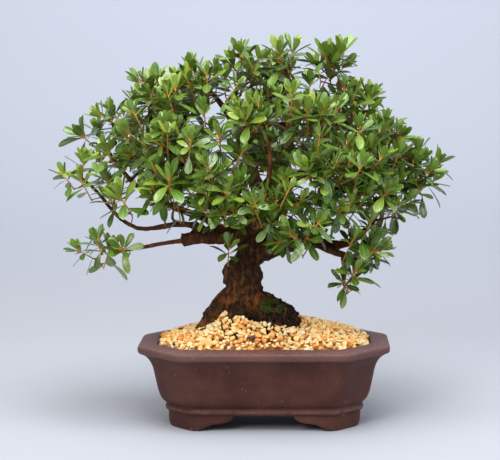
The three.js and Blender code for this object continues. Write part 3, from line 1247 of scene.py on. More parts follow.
@dataclass
class GrainLayer:
    """The loose layer of baked clay grains, poured grain by grain over the mound."""

    wood: Sequence[str]
    # The bed's colours are darker than the loose grains': painted shade in the gaps between them.
    shaded_bed_finish: GrainFinish = GrainFinish("grain_bed", colour("ecb873"), colour("d39a58"), colour("9c6633"))
    cell: float = 0.6 * MM
    bed_depth: float = 8.5 * MM
    bed_skin: float = 1.6 * MM
    bed_sink: float = 4.8 * MM
    bed_draw: float = 4 * MM
    rim_gap: float = 3.5 * MM
    mean_size: float = 7.6 * MM
    spread: float = 0.25
    least: float = 3.4 * MM
    most: float = 11.5 * MM
    proud: float = 1.6 * MM
    border: int = 10
    trunk_foot: float = 75 * MM
    pours: tuple[Pour, ...] = (Pour(1.0, 7000, 2200), Pour(0.72, 5000, 1500), Pour(0.52, 6000, 1800))
    aims: int = 9
    strays: int = 70
    most_stray: float = 6 * MM
    shapes: int = 30
    mould_rounds: int = 3
    breaks: int = 7
    radius_share: float = 0.41
    flatness: float = 0.82
    nesting: float = 0.86
    shape_share: float = 0.6
    heaps: tuple[Heap, ...] = (
        Heap(-33, -30, 13, 15, 19),
        Heap(-14, -38, 14, 12, 9),
        Heap(11, -36, 15, 12, 9),
    )

    def __post_init__(self) -> None:
        """Lays out the map of heights over the layer."""
        low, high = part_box("top_dressing")
        self.low = np.array(low[:2]) - self.border * self.cell
        self.size = np.ceil((np.array(high[:2]) - self.low) / self.cell).astype(int) + 1 + self.border
        self.rng = np.random.default_rng(41)
        self.batches: dict[GrainKind, Batch] = {kind: Batch() for kind in GrainKind}
        self.moulds = [self.mould() for _ in range(self.shapes)]

    def mould(self) -> tuple[Array, Array]:
        """A crushed-clay shape: a ball cut by flat breaks, with softened edges.

        Returns:
            Vertices within one of the middle, and triangles.
        """
        points, faces = ball(self.mould_rounds)
        breaks = unit(self.rng.normal(size=(self.breaks, 3)))
        depth = self.rng.uniform(0.4, 0.85, size=self.breaks)
        facing = points @ breaks.T
        reach = np.where(facing > 0.05, depth[None, :] / np.maximum(facing, 0.05), 9.0)
        radius = np.minimum(-np.log(np.exp(-26 * reach).sum(1)) / 26, 1.0)
        points = points * radius[:, None]
        seed = float(self.rng.uniform(0, 40))
        points += 0.34 * points * smooth_noise(points, 0.62, seed)[:, None]
        points += 0.16 * points * smooth_noise(points, 0.26, seed + 1)[:, None]
        points /= np.abs(points).max()
        return points, faces

    def heights(self, names: Sequence[str], start: float) -> Array:
        """Height of some CAD nodes over each cell of the map, seen from above.

        Args:
            names: The nodes.
            start: Where the look down begins.

        Returns:
            Heights: 0 where there is nothing, and the start itself where that is inside a node.
        """
        tree = surface_tree(frame["nodes"][name].data for name in names)
        found = np.zeros(self.size)
        down = Vector((0, 0, -1))
        for i in range(self.size[0]):
            for j in range(self.size[1]):
                x, y = self.low + np.array([i, j]) * self.cell
                hit, normal, _, _ = tree.ray_cast(Vector((x, y, start)), down, start)
                if hit is not None:
                    found[i, j] = hit.z if normal.z > 0 else start
        return found

    def heap(self) -> Array:
        """How much higher the grains stand where they are piled against the front of the roots.

        Returns:
            Height above the usual surface for each cell of the map.
        """
        middle = box_middle("pot")
        i, j = np.meshgrid(np.arange(self.size[0]), np.arange(self.size[1]), indexing="ij")
        x = self.low[0] + i * self.cell - middle[0]
        y = self.low[1] + j * self.cell - middle[1]
        rise = np.zeros(x.shape)
        for heap in self.heaps:
            off_x = (x / MM - heap.x) / heap.reach_x
            off_y = (y / MM - heap.y) / heap.reach_y
            rise += heap.height * MM * np.exp(-(off_x**2) - off_y**2)
        return rise

    def footprint(self, radius: float) -> tuple[Array, Array, Array]:
        """Cells under a round of some radius, with the share of height left at each.

        Args:
            radius: Radius in metres.

        Returns:
            Steps along the map's two sides, and the shares.
        """
        reach = int(radius / self.cell)
        i, j = np.meshgrid(np.arange(-reach, reach + 1), np.arange(-reach, reach + 1), indexing="ij")
        rho = np.hypot(i, j) * self.cell / radius
        inside = rho < 1
        return i[inside], j[inside], np.sqrt(1 - rho[inside] ** 2)

    def settle(self, ground: Array, limit: Array, size: float) -> Array | None:
        """Drops one grain where it comes to rest lowest.

        Args:
            ground: Height of what lies there already; the grain is added to it.
            limit: Height that no grain may stand above.
            size: Diameter of the grain.

        Returns:
            The grain's middle, or nothing if it found no room.
        """
        radius = size * self.radius_share
        thick = radius * self.flatness
        di, dj, share = self.footprint(radius)
        margin = int(radius / self.cell) + 1
        best: tuple[float, int, int, float] | None = None
        for _ in range(self.aims):
            i = int(self.rng.integers(margin, self.size[0] - margin))
            j = int(self.rng.integers(margin, self.size[1] - margin))
            roof = limit[i + di, j + dj]
            if roof[share > 0.75].min() <= 0:
                continue
            height = (ground[i + di, j + dj] + thick * share).max()
            over = height + thick - limit[i, j]
            if over < 0 and (best is None or over < best[0]):
                best = (over, i, j, height)
        if best is None:
            return None
        _, i, j, height = best
        upper = height + thick * share * self.nesting
        ground[i + di, j + dj] = np.maximum(ground[i + di, j + dj], upper)
        return np.array([self.low[0] + i * self.cell, self.low[1] + j * self.cell, height])

    def place(self, middle: Array, size: float) -> None:
        """Adds one grain to the batch of its kind.

        Args:
            middle: The grain's middle.
            size: Its diameter.
        """
        kinds = list(GrainKind)
        kind = kinds[int(self.rng.choice(len(kinds), p=[GRAIN_SHARES[k] for k in kinds]))]
        points, faces = self.moulds[int(self.rng.integers(len(self.moulds)))]
        stretch = self.rng.uniform(0.62, 1.15, size=3)
        shaped = (points * stretch) @ turned(self.rng).T
        shaped[:, 2] *= 0.9
        tint = float(np.clip(self.rng.normal(0.55, 0.25), 0, 1))
        self.batches[kind].add(middle + shaped * size * self.shape_share, faces, tint=tint)

    def build(self) -> None:
        """Pours, shapes and dresses the whole layer."""
        surface = self.heights(["top_dressing"], 1.0)
        wood = self.heights(self.wood, POT_TOP + self.trunk_foot)
        inside = surface > 0
        rim = POT_TOP - self.rim_gap
        edge = surface.copy()
        for _ in range(2):
            edge[1:-1, 1:-1] = np.minimum.reduce(
                [edge[1:-1, 1:-1], edge[:-2, 1:-1], edge[2:, 1:-1], edge[1:-1, :-2], edge[1:-1, 2:]]
            )
        ground = np.where(inside, surface - self.bed_depth, 0)
        covered = (wood > ground) & inside
        ground = np.where(covered, np.maximum(ground, wood), ground)
        limit = np.where(edge > 0, np.maximum(surface, rim) + self.proud + self.heap(), 0)
        LOG.info("grain map: %s cells", self.size)
        placed = sum(self.pour(ground, limit, pour) for pour in self.pours)
        placed += self.scatter(ground, surface, wood)
        LOG.info("%d grains", placed)
        for kind, batch in self.batches.items():
            piece = batch.piece(f"grains_{kind.value}", GRAIN_FINISHES[kind].material())
            finish_piece(piece, "clay_grains")
        self.bed()

    def pour(self, ground: Array, limit: Array, pour: Pour) -> int:
        """Drops grains until no more find room.

        Args:
            ground: Height of what lies there already.
            limit: Height that no grain may stand above.
            pour: How many grains to drop, and of what size.

        Returns:
            The number of grains placed.
        """
        placed = 0
        missed = 0
        for _ in range(pour.tries):
            size = self.mean_size * pour.scale * self.rng.lognormal(0, self.spread)
            size = float(np.clip(size, self.least, self.most))
            middle = self.settle(ground, limit, size)
            if middle is None:
                missed += 1
                if missed > pour.misses:
                    break
                continue
            self.place(middle, size)
            placed += 1
        return placed

    def scatter(self, ground: Array, surface: Array, wood: Array) -> int:
        """Lays stray grains on the root mat and on the foot of the roots, never on each other.

        Args:
            ground: Height of what lies there already.
            surface: Height of the layer's top.
            wood: Height of the wood and the mat.

        Returns:
            The number of grains placed.
        """
        mat_low, mat_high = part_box("fibrous_roots")
        margin = 9
        placed = 0
        for _ in range(self.strays * 12):
            size = self.mean_size * 0.85 * self.rng.lognormal(0, 0.25)
            size = float(np.clip(size, self.least, self.most_stray))
            x = self.rng.uniform(mat_low.x - 26 * MM, mat_high.x + 6 * MM)
            y = self.rng.uniform(mat_low.y - 8 * MM, mat_high.y)
            i, j = ((np.array([x, y]) - self.low) / self.cell).astype(int)
            radius = size * 0.47
            di, dj, share = self.footprint(radius)
            if min(i, j) < margin or i + margin >= self.size[0] or j + margin >= self.size[1]:
                continue
            under = ground[i + di, j + dj]
            height = (under + radius * 0.8 * share).max()
            steep = under.max() - under.min()
            if steep > size * 1.7 or height > surface[i, j] + 17 * MM or height < surface[i, j]:
                continue
            if under.max() > wood[i + di, j + dj].max() + 1 * MM:
                continue
            ground[i + di, j + dj] = np.maximum(under, height + radius * 0.7 * share)
            self.place(np.array([x, y, height - 0.4 * MM]), size)
            placed += 1
            if placed >= self.strays:
                break
        return placed

    def bed(self) -> None:
        """Makes the mass of grains below the loose ones, coloured darker as painted shade in the gaps
        between them.
        """
        bed = copy_nodes("grain_bed", ["top_dressing"], 0)
        voxel_remesh(bed, self.bed_skin)
        points = mesh_points(bed.data)
        normals = mesh_normals(bed.data)
        lift = np.clip(normals[:, 2], 0, 1)
        lumps = smooth_noise(points, 3.2 * MM, 3)
        points[:, 2] -= lift * (self.bed_sink - 0.9 * MM * lumps)
        loose = np.clip((points[:, 2] - (POT_TOP - 12 * MM)) / (5 * MM), 0.15, 1)
        points[:, :2] -= normals[:, :2] * (self.bed_draw * loose)[:, None]
        set_points(bed.data, points)
        # The tint follows the same lumps as the bed's height, darker where it lies lower: painted shade.
        add_values(bed.data, "tint", np.clip(0.3 + 0.3 * lumps, 0, 1))
        bed.data.materials.append(self.shaded_bed_finish.material())
        finish_piece(bed, "clay_grains", "top_dressing")


# ---------------- wood


@dataclass(frozen=True)
class Crease:
    """A fold round the trunk: height, width and depth in millimetres, tilt, and its direction."""

    height: float
    width: float
    depth: float
    tilt: float
    way: float


@dataclass(frozen=True)
class Relief:
    """One coarseness of the bark's relief: size of its lumps and their height, in millimetres."""

    size: float
    height: float


@dataclass
class Wood:
    """Trunk, buttress roots and limbs, grown as one."""

    names: Sequence[str]
    finish: BarkFinish = BarkFinish()
    grow: float = 0.45 * MM
    skin: float = 0.85 * MM
    most_faces: int = 185000
    knot_count: int = 34
    broad: Relief = Relief(14, 2.0)
    ridges: Relief = Relief(6.5, 1.35)
    plates: Relief = Relief(3.4, 0.9)
    crumbs: Relief = Relief(1.9, 0.5)
    creases: tuple[Crease, ...] = (
        Crease(135, 2.6, 1.8, 0.16, 0.4),
        Crease(151, 1.7, 0.9, -0.3, 1.9),
        Crease(123, 1.6, 1.1, 0.4, 2.6),
        Crease(112, 2.0, 1.2, -0.25, 4.0),
    )
    slimming: Pairs = (
        (3, 0.75), (6, 1.2), (10, 1.35), (16, 1.1), (24, 0.6), (34, 0.4),
    )
    old_height: float = 75 * MM
    moss_height: float = 30 * MM
    soil_height: float = 36 * MM
    hollow_place: tuple[float, float] = (-38, 166)
    hollow_reach: tuple[float, float] = (16, 11)
    hollow_shift: float = 12

    def thickness(self, points: Array, normals: Array, tree: BVHTree) -> Array:
        """Distance through the wood below each vertex.

        Args:
            points: Vertices of the wood.
            normals: Their normals.
            tree: The wood's surface.

        Returns:
            The distances in metres.
        """
        found = np.zeros(len(points))
        for i, (point, normal) in enumerate(zip(points, normals)):
            inward = Vector(-normal)
            hit = tree.ray_cast(Vector(point) + inward * (0.4 * MM), inward, 90 * MM)
            found[i] = hit[3] if hit[0] is not None else 4 * MM
        return found

    def evened(self, mesh: Mesh, values: Array, rounds: int) -> Array:
        """Values averaged again and again with those of the neighbouring vertices.

        Args:
            mesh: The mesh.
            values: One value for each vertex.
            rounds: How often to average.

        Returns:
            The evened values.
        """
        edges = np.zeros(len(mesh.edges) * 2, dtype=np.int32)
        mesh.edges.foreach_get("vertices", edges)
        first, second = edges.reshape(-1, 2).T
        count = np.bincount(first, minlength=len(values)) + np.bincount(second, minlength=len(values))
        for _ in range(rounds):
            total = np.bincount(first, values[second], len(values))
            total = total + np.bincount(second, values[first], len(values))
            values = 0.3 * values + 0.7 * total / np.maximum(count, 1)
        return values

    def bare_skin(self) -> Piece:
        """One smooth skin over the trunk and all its limbs.

        Returns:
            The skin, with few enough faces for one piece.
        """
        wood = copy_nodes("wood", self.names, self.grow)
        voxel_remesh(wood, self.skin)
        relax(wood, 0.5, 5)
        thinner = wood.modifiers.new("fewer_faces", "DECIMATE")
        thinner.ratio = min(1.0, self.most_faces / (2 * len(wood.data.polygons)))
        apply_modifiers(wood)
        return wood

    def build(self) -> Piece:
        """Models and dresses the wood.

        Returns:
            The finished wood.
        """
        wood = self.bare_skin()
        points = mesh_points(wood.data)
        normals = mesh_normals(wood.data)
        tree = surface_tree([wood.data])
        thick = np.clip(self.thickness(points, normals, tree), 2 * MM, 46 * MM)
        thick = self.evened(wood.data, thick, 6)
        stout = np.clip((thick - 3 * MM) / (26 * MM), 0, 1)
        slim_down = np.interp(thick / MM, *zip(*self.slimming)) * MM
        points = points - normals * slim_down[:, None]
        lift = self.bark(points) * (0.1 + 0.9 * stout)
        lift += self.knots(points, stout) + self.folds(points) * stout
        points = points + normals * lift[:, None]
        points[:, 0] += self.hollow(points)
        set_points(wood.data, points)
        self.store_ageing(wood.data, points, normals, stout)
        wood.data.materials.append(self.finish.material())
        finish_piece(wood, "trunk_bark", *self.names)
        return wood

    def bark(self, points: Array) -> Array:
        """Height of the bark's relief at each vertex, with ridges and plates drawn out upwards.

        Args:
            points: Vertices of the wood.

        Returns:
            Heights in metres, at full strength.
        """
        drawn = points * np.array([1, 1, 0.5])
        broad = smooth_noise(points, self.broad.size * MM, 5)
        ridges = 1 - np.abs(smooth_noise(drawn, self.ridges.size * MM, 6)) * 2
        plates = 1 - np.abs(smooth_noise(drawn, self.plates.size * MM, 7)) * 2
        crumbs = smooth_noise(points, self.crumbs.size * MM, 8)
        lift = self.broad.height * broad + self.ridges.height * ridges
        return (lift + self.plates.height * plates + self.crumbs.height * crumbs) * MM

    def store_ageing(self, mesh: Mesh, points: Array, normals: Array, stout: Array) -> None:
        """Stores where the bark is old, mossy, slim or soiled.

        Args:
            mesh: The wood's mesh.
            points: Its vertices.
            normals: Their normals before the relief.
            stout: How thick the wood is there, from 0 to 1.
        """
        height = points[:, 2] - POT_TOP
        old = np.clip(1 - height / self.old_height, 0, 1) * np.clip(stout * 2, 0, 1)
        mossy = np.clip(1 - height / self.moss_height, 0, 1) * np.clip(0.3 + normals[:, 2], 0, 1)
        from_left = points[:, 0] - box_middle("trunk")[0]
        soiled = np.clip((self.soil_height - height) / (12 * MM), 0, 1)
        soiled = soiled * np.clip((from_left + 22 * MM) / (12 * MM), 0, 1)
        add_values(mesh, "old", old)
        add_values(mesh, "mossy", mossy)
        add_values(mesh, "slim", 1 - stout)
        add_values(mesh, "soiled", soiled)

    def hollow(self, points: Array) -> Array:
        """How far the trunk is drawn in, to the right, below the left limb.

        Args:
            points: Vertices of the wood.

        Returns:
            Shifts along X in metres.
        """
        across = (points[:, 0] - box_middle("pot")[0]) / MM
        across = (across - self.hollow_place[0]) / self.hollow_reach[0]
        up = (points[:, 2] / MM - self.hollow_place[1]) / self.hollow_reach[1]
        return self.hollow_shift * MM * np.exp(-(across**2) - up**2)

    def folds(self, points: Array) -> Array:
        """Tilted creases round the trunk, each with a swelling above it.

        Args:
            points: Vertices of the wood.

        Returns:
            Heights in metres.
        """
        middle = box_middle("trunk")
        lift = np.zeros(len(points))
        wave = smooth_noise(points, 16 * MM, 14)
        for fold in self.creases:
            along = (points[:, 0] - middle[0]) * math.cos(fold.way)
            along = along + (points[:, 1] - middle[1]) * math.sin(fold.way)
            gap = points[:, 2] - fold.height * MM - fold.tilt * along - 3 * MM * wave
            gap = gap / (fold.width * MM)
            swell = np.exp(-(((gap - 2.2) / 1.5) ** 2))
            lift += (0.5 * swell - np.exp(-(gap**2))) * fold.depth * MM
        return lift

    def knots(self, points: Array, stout: Array) -> Array:
        """Swellings round old pruning scars, dented in their middles.

        Args:
            points: Vertices of the wood.
            stout: How thick the wood is there, from 0 to 1.

        Returns:
            Heights in metres.
        """
        rng = np.random.default_rng(12)
        lift = np.zeros(len(points))
        thick = np.flatnonzero(stout > 0.12)
        for place in rng.choice(thick, self.knot_count, replace=False):
            reach = rng.uniform(2.6, 5.2) * MM * (0.6 + 0.6 * stout[place])
            gap = np.linalg.norm(points - points[place], axis=1) / reach
            lift += (np.exp(-(gap**2)) - 1.1 * np.exp(-((gap / 0.42) ** 2))) * reach * 0.3
        return lift


@dataclass
class Shoot:
    """One leafy end of a twig."""

    base: Array
    axis: Array
    length: float
    clump: str
    scale: float = 1.0
    path: Array | None = None


@dataclass
class TwigWork:
    """The twigs that lead from the limbs to every leafy shoot, branching on the way."""

    wood: Piece
    step: float = 6.5 * MM
    tip_radius: float = 0.55 * MM
    most_radius: float = 2.3 * MM
    load_power: float = 0.42
    clear_height: float = 42 * MM
    start_share: float = 0.06
    sides: int = 6
    end_points: int = 6
    old_finish: TwigFinish = TwigFinish("twig", colour("4c2f1f"), colour("8f5f30"))
    young_finish: TwigFinish = TwigFinish("young_shoot", colour("a8702a"), colour("c2a24a"))

    def __post_init__(self) -> None:
        """Starts the net of places to branch from with points on the wood."""
        rng = np.random.default_rng(5)
        points = mesh_points(self.wood.data)
        slim = np.zeros(len(points))
        self.wood.data.attributes["slim"].data.foreach_get("value", slim)
        normals = mesh_normals(self.wood.data)
        high_up = points[:, 2] > POT_TOP + self.clear_height
        free = np.flatnonzero(high_up & (rng.random(len(points)) < self.start_share))
        self.rng = rng
        self.places = (points - normals * 0.8 * MM)[free]
        self.facing = normals[free]
        self.cost = (1 - slim[free]) * 20 * MM
        self.parent = np.full(len(free), -1)
        self.strips: list[list[int]] = []

    def reach(self, shoot: Shoot) -> None:
        """Leads a twig to one shoot from the best place there is.

        Args:
            shoot: The shoot.
        """
        way = shoot.base - self.places
        gap = np.linalg.norm(way, axis=1)
        ahead = (way * shoot.axis).sum(1) / np.maximum(gap, 1e-6)
        from_side = (way * self.facing).sum(1) / np.maximum(gap, 1e-6)
        cost = gap * (1 + 0.55 * np.clip(0.35 - ahead, 0, 2)) + 0.14 * self.cost
        cost += gap * 0.5 * np.clip(-from_side, 0, 1) + 500 * (gap < 5 * MM)
        start = int(np.argmin(cost))
        length = gap[start]
        out = unit(0.7 * self.facing[start] + 0.6 * unit(way[start]) + 0.25 * UP)
        count = max(3, int(length / self.step) + 1)
        path = hermite(self.places[start], out * length * 0.9, shoot.base, shoot.axis * length * 0.8, count)
        path[1:-1] += self.rng.normal(0, 0.5 * MM, size=(count - 2, 3))
        strip = [start]
        tangents = unit(np.gradient(path, axis=0))
        first = len(self.places)
        parents = [start] + [first + i for i in range(count - 2)]
        travelled = self.cost[start] + np.arange(1, count) * length / count
        self.places = np.concatenate([self.places, path[1:]])
        self.facing = np.concatenate([self.facing, tangents[1:]])
        self.cost = np.concatenate([self.cost, travelled])
        self.parent = np.concatenate([self.parent, parents])
        strip.extend(range(first, first + count - 1))
        self.strips.append(strip)

    def grow(self, shoots: list[Shoot]) -> None:
        """Reaches all shoots, the nearest to the wood first, and makes the twigs.

        Args:
            shoots: All shoots.
        """
        bare = self.places.copy()
        gaps = [float(np.linalg.norm(bare - s.base, axis=1).min()) for s in shoots]
        for i in np.argsort(gaps):
            self.reach(shoots[int(i)])
        loads = np.zeros(len(self.places))
        for strip in self.strips:
            node = strip[-1]
            while node >= 0:
                loads[node] += 1
                node = int(self.parent[node])
        batch = Batch()
        for strip in self.strips:
            path = self.places[strip]
            held = loads[strip]
            held[0] = held[1]
            radii = np.clip(self.tip_radius * held**self.load_power, 0, self.most_radius)
            fine = np.linspace(0, len(path) - 1, 2 * len(path) - 1)
            whole = np.arange(len(path))
            smooth = np.column_stack([np.interp(fine, whole, path[:, k]) for k in range(3)])
            smooth[1:-1] = smooth[1:-1] * 0.5 + 0.25 * (smooth[:-2] + smooth[2:])
            sizes = np.interp(fine, whole, radii) * self.rng.uniform(0.92, 1.1, len(fine))
            points, faces = tube(smooth, sizes, self.sides)
            age = np.repeat(np.clip((sizes - 0.5 * MM) / (0.9 * MM), 0.1, 1), self.sides)
            batch.add(points, faces, age=np.concatenate([age, age[:1], age[-1:]]))
        finish_piece(batch.piece("twigs", self.old_finish.material()), "limb_bark")
        LOG.info("%d twigs", len(self.strips))

    def young_ends(self, shoots: list[Shoot]) -> None:
        """The soft golden ends that carry the leaves.

        Args:
            shoots: All shoots; each is given its path.
        """
        batch = Batch()
        count = self.end_points
        for shoot in shoots:
            side = unit(np.cross(shoot.axis, self.rng.normal(size=3)))
            share = np.linspace(0, 1, count)[:, None]
            bend = side * (share**2) * shoot.length * self.rng.uniform(0, 0.22)
            start = shoot.base - shoot.axis * 1.5 * MM
            path = start + shoot.axis * share * (shoot.length + 1.5 * MM) + bend + UP * share**2 * 1.2 * MM
            shoot.path = path
            radii = np.linspace(0.72, 0.5, count) * MM
            points, faces = tube(path, radii, self.sides)
            age = np.repeat(np.linspace(0.9, 0.05, count), self.sides)
            batch.add(points, faces, age=np.concatenate([age, [0.9, 0.0]]))
        finish_piece(batch.piece("young_shoots", self.young_finish.material()), "limb_bark")


# ---------------- leaves


@dataclass(frozen=True)
class LeafShape:
    """One leaf of length one: a thin closed blade, widest towards its tip, arched and folded."""

    width: float
    warp: float
    arch: float
    fold: float
    twist: float
    thickness: float = 0.018

    def half_width(self, along: float) -> float:
        """Half the blade's width at a share of its length.

        Args:
            along: The share, 0 at the stalk.

        Returns:
            Half the width, as a share of the length.
        """
        places = (0, 0.07, 0.16, 0.3, 0.45, 0.58, 0.7, 0.8, 0.89, 0.955, 1)
        shares = (0.1, 0.12, 0.26, 0.52, 0.79, 0.95, 1, 0.95, 0.76, 0.45, 0)
        return max(0.004, self.width / 2 * float(np.interp(along**self.warp, places, shares)))

    def mesh(self) -> LeafMesh:
        """Vertices, triangles and, for each vertex, its place across, along and up the leaf.

        Returns:
            The three arrays.
        """
        stations = (0.0, 0.08, 0.2, 0.36, 0.53, 0.69, 0.82, 0.92, 0.975)
        section = (
            (-1, 0.0, 0.5), (-0.5, 0.6, 1.0), (0, 0.25, 1.0), (0.5, 0.6, 1.0), (1, 0.0, 0.5), (0, -0.8, 0.0),
        )
        points: list[Triple] = []
        values: list[Triple] = []
        reach = 1 - 0.25 * self.arch**2
        for along in stations:
            half = self.half_width(along)
            turn = self.twist * along
            for across, rise, top in section:
                x = across * half
                z = self.fold * abs(x) + rise * self.thickness * min(1.0, half / 0.08 + 0.25)
                z -= 0.35 * self.fold * x * x / max(half, 0.02) * (1 if abs(across) == 1 else 0.4)
                x, z = x * math.cos(turn) - z * math.sin(turn), x * math.sin(turn) + z * math.cos(turn)
                points.append((x, along * reach, z - self.arch * along**2))
                values.append((across, along, top))
        points.append((0, reach, -self.arch))
        values.append((0, 1, 0.6))
        points.append((0, -0.01, 0))
        values.append((0, 0, 0.6))
        faces: list[tuple[int, int, int]] = []
        ring = len(section)
        for row in range(len(stations) - 1):
            for i in range(ring):
                a = row * ring + i
                b = row * ring + (i + 1) % ring
                faces.append((a, a + ring, b + ring))
                faces.append((a, b + ring, b))
        last = (len(stations) - 1) * ring
        tip = len(points) - 2
        for i in range(ring):
            faces.append((last + i, tip, last + (i + 1) % ring))
            faces.append((i, (i + 1) % ring, tip + 1))
        return np.array(points), np.array(faces), np.array(values)


@dataclass(frozen=True)
class Whorl:
    """One storey of leaves on a shoot.

    Sizes are shares of the full leaf length, angles are degrees from the shoot's axis, and places
    are millimetres below the shoot's tip.
    """

    fewest: int
    most: int
    near: float
    far: float
    size: tuple[float, float]
    angle: tuple[float, float]
    youth: float


@dataclass
class Foliage:
    """Every leaf of the crown, set spirally on its shoot, clump by clump."""

    clumps: Sequence[str]
    finish: LeafFinish = LeafFinish()
    spacing: float = 14.5 * MM
    side_reach: float = 8 * MM
    top_reach: float = 11 * MM
    bridge_gap: float = 15 * MM
    bridge_tries: int = 9000
    core: float = 0.78
    airy_left: float = 0.36
    airy_from: float = 0.42
    airy_ramp: float = 0.25
    candidate_gap: float = 4.5 * MM
    leaf_length: float = 20.4 * MM
    variants: int = 10
    whorls: tuple[Whorl, ...] = (
        Whorl(2, 3, 0.0, 0.8, (0.56, 0.8), (8, 28), 1.0),
        Whorl(4, 5, 0.8, 3.5, (0.76, 1.0), (34, 62), 0.75),
        Whorl(4, 5, 4.0, 8.0, (0.88, 1.18), (66, 94), 0.3),
        Whorl(0, 2, 10.0, 18.0, (0.75, 1.25), (86, 124), 0.0),
    )

    def __post_init__(self) -> None:
        """Makes the leaf shapes and finds the middle of the crown."""
        self.rng = np.random.default_rng(77)
        boxes = [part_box(name) for name in self.clumps]
        self.low = np.array([lo[:] for lo, _ in boxes]).min(0)
        self.high = np.array([hi[:] for _, hi in boxes]).max(0)
        self.middle = (self.low + self.high) / 2
        self.young = [self.shape((-0.12, 0.08), (0.3, 0.65)) for _ in range(self.variants)]
        self.grown = [self.shape((0.0, 0.3), (0.08, 0.42)) for _ in range(self.variants)]

    def shape(self, arch: tuple[float, float], fold: tuple[float, float]) -> LeafMesh:
        """One leaf shape drawn at random, within ranges of arch and fold."""
        draw = self.rng.uniform
        return LeafShape(draw(0.28, 0.37), draw(0.8, 1.2), draw(*arch), draw(*fold), draw(-0.4, 0.4)).mesh()

    def shoots(self) -> list[Shoot]:
        """All leafy shoots of the crown, evenly scattered through the clumps.

        Returns:
            The shoots, in the order in which they found room.
        """
        places: list[TipPlace] = []
        boxes = {name: [np.array(corner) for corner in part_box(name)] for name in self.clumps}
        for name in self.clumps:
            low, high = boxes[name]
            heart = (low + high) / 2
            half = (high - low) / 2
            reach = np.array([self.side_reach, self.side_reach, self.top_reach])
            inner = np.maximum(half - reach, 0.42 * half)
            for _ in range(int(np.prod(half) * 4.19 / self.candidate_gap**3)):
                way = unit(self.rng.normal(size=3))
                out = self.rng.random() ** 0.24
                places.append((heart + way * inner * out, way / half, name, out))
        places += self.between_clumps(boxes)
        order = self.rng.permutation(len(places))
        kept: list[Array] = []
        made: list[Shoot] = []
        for i in order:
            place, way, name, out = places[i]
            leftness = (self.middle[0] - place[0]) / (self.high[0] - self.low[0]) * 2
            airiness = np.clip((leftness - self.airy_from) / self.airy_ramp, 0, 1)
            apart = self.spacing * (1 + self.airy_left * airiness)
            if kept and np.min(np.linalg.norm(np.array(kept) - place, axis=1)) < apart:
                continue
            kept.append(place)
            made.append(self.shoot_at(place, unit(way), name, out))
        LOG.info("%d shoots", len(made))
        return made

    def between_clumps(self, boxes: dict[str, list[Array]]) -> list[TipPlace]:
        """Places where neighbouring clumps run into each other, each with its way out and its clump.

        Args:
            boxes: Lowest and highest corner of each clump.

        Returns:
            The places found.
        """
        room = np.array([self.side_reach, self.side_reach, self.top_reach])
        found: list[TipPlace] = []
        for _ in range(self.bridge_tries):
            place = self.rng.uniform(self.low + room, self.high - room)
            off = (place - self.middle) / (self.high - self.low) * 2 / self.core
            if math.hypot(off[0], off[2]) > 1:
                continue
            near: list[tuple[float, str, Array]] = []
            for name, (low, high) in boxes.items():
                half = (high - low) / 2
                away = (place - (low + high) / 2) / (half + self.bridge_gap)
                if float(away @ away) < 1:
                    near.append((float(away @ away), name, away / half))
            if len(near) > 1:
                _, name, way = min(near, key=lambda nearby: nearby[0])
                if way[2] > -0.25 * np.abs(way).max():
                    found.append((place, way, name, 0.5))
        return found

    def shoot_at(self, tip: Array, way: Array, clump: str, out: float) -> Shoot:
        """One shoot that ends at a tip and grows outwards and upwards.

        Args:
            tip: Its tip.
            way: The way out of its clump.
            clump: Name of the clump.
            out: How far out it lies, 1 at the clump's edge.

        Returns:
            The shoot.
        """
        outward = unit(tip - self.middle)
        axis = 0.5 * way * out + 0.35 * outward + 0.72 * UP + self.rng.normal(0, 0.2, 3)
        axis[2] = max(axis[2], -0.1)
        axis = unit(axis)
        length = self.rng.uniform(13, 23) * MM
        scale = float(np.clip(self.rng.normal(1, 0.12), 0.75, 1.3))
        return Shoot(tip - axis * length, axis, length, clump, scale)

    def dress_shoot(self, shoot: Shoot, batch: Batch) -> int:
        """Sets the leaves of one shoot.

        Args:
            shoot: The shoot, with its path.
            batch: Where the leaves go.

        Returns:
            The number of leaves.
        """
        rng = self.rng
        path = shoot.path
        axis = unit(path[-1] - path[-2])
        side = unit(np.cross(axis, rng.normal(size=3)))
        other = np.cross(axis, side)
        turn = rng.uniform(0, 2 * math.pi)
        mood = float(np.clip(rng.normal(0.5, 0.2), 0, 1))
        whole = np.linspace(0, 1, len(path))
        total = 0
        for whorl in self.whorls:
            count = int(rng.integers(whorl.fewest, whorl.most + 1))
            for k in range(count):
                down = (whorl.near + (whorl.far - whorl.near) * (k + rng.random()) / count) * MM
                place = max(0.0, 1 - down / shoot.length)
                at = np.array([np.interp(place, whole, path[:, i]) for i in range(3)])
                turn += GOLDEN_ANGLE + rng.normal(0, 0.15)
                out = math.cos(turn) * side + math.sin(turn) * other
                polar = math.radians(rng.uniform(*whorl.angle))
                lift = 0.16 if whorl.youth > 0 else -0.05
                way = unit(math.cos(polar) * axis + math.sin(polar) * out + lift * UP)
                size = self.leaf_length * shoot.scale * rng.uniform(*whorl.size)
                face = axis * math.sin(polar) - out * math.cos(polar)
                face = unit(face + 0.3 * UP + rng.normal(0, 0.2, 3))
                across = unit(np.cross(way, face))
                face = np.cross(across, way)
                shapes = self.young if whorl.youth > 0.5 else self.grown
                points, faces, values = shapes[int(rng.integers(len(shapes)))]
                set_out = points @ np.array([across, way, face]) * size + at
                tint = 0.2 + 0.5 * mood + 0.28 * whorl.youth + rng.normal(0, 0.12)
                batch.add(set_out, faces, tint=float(np.clip(tint, 0, 1)), leaf=values, youth=whorl.youth)
            total += count
        return total

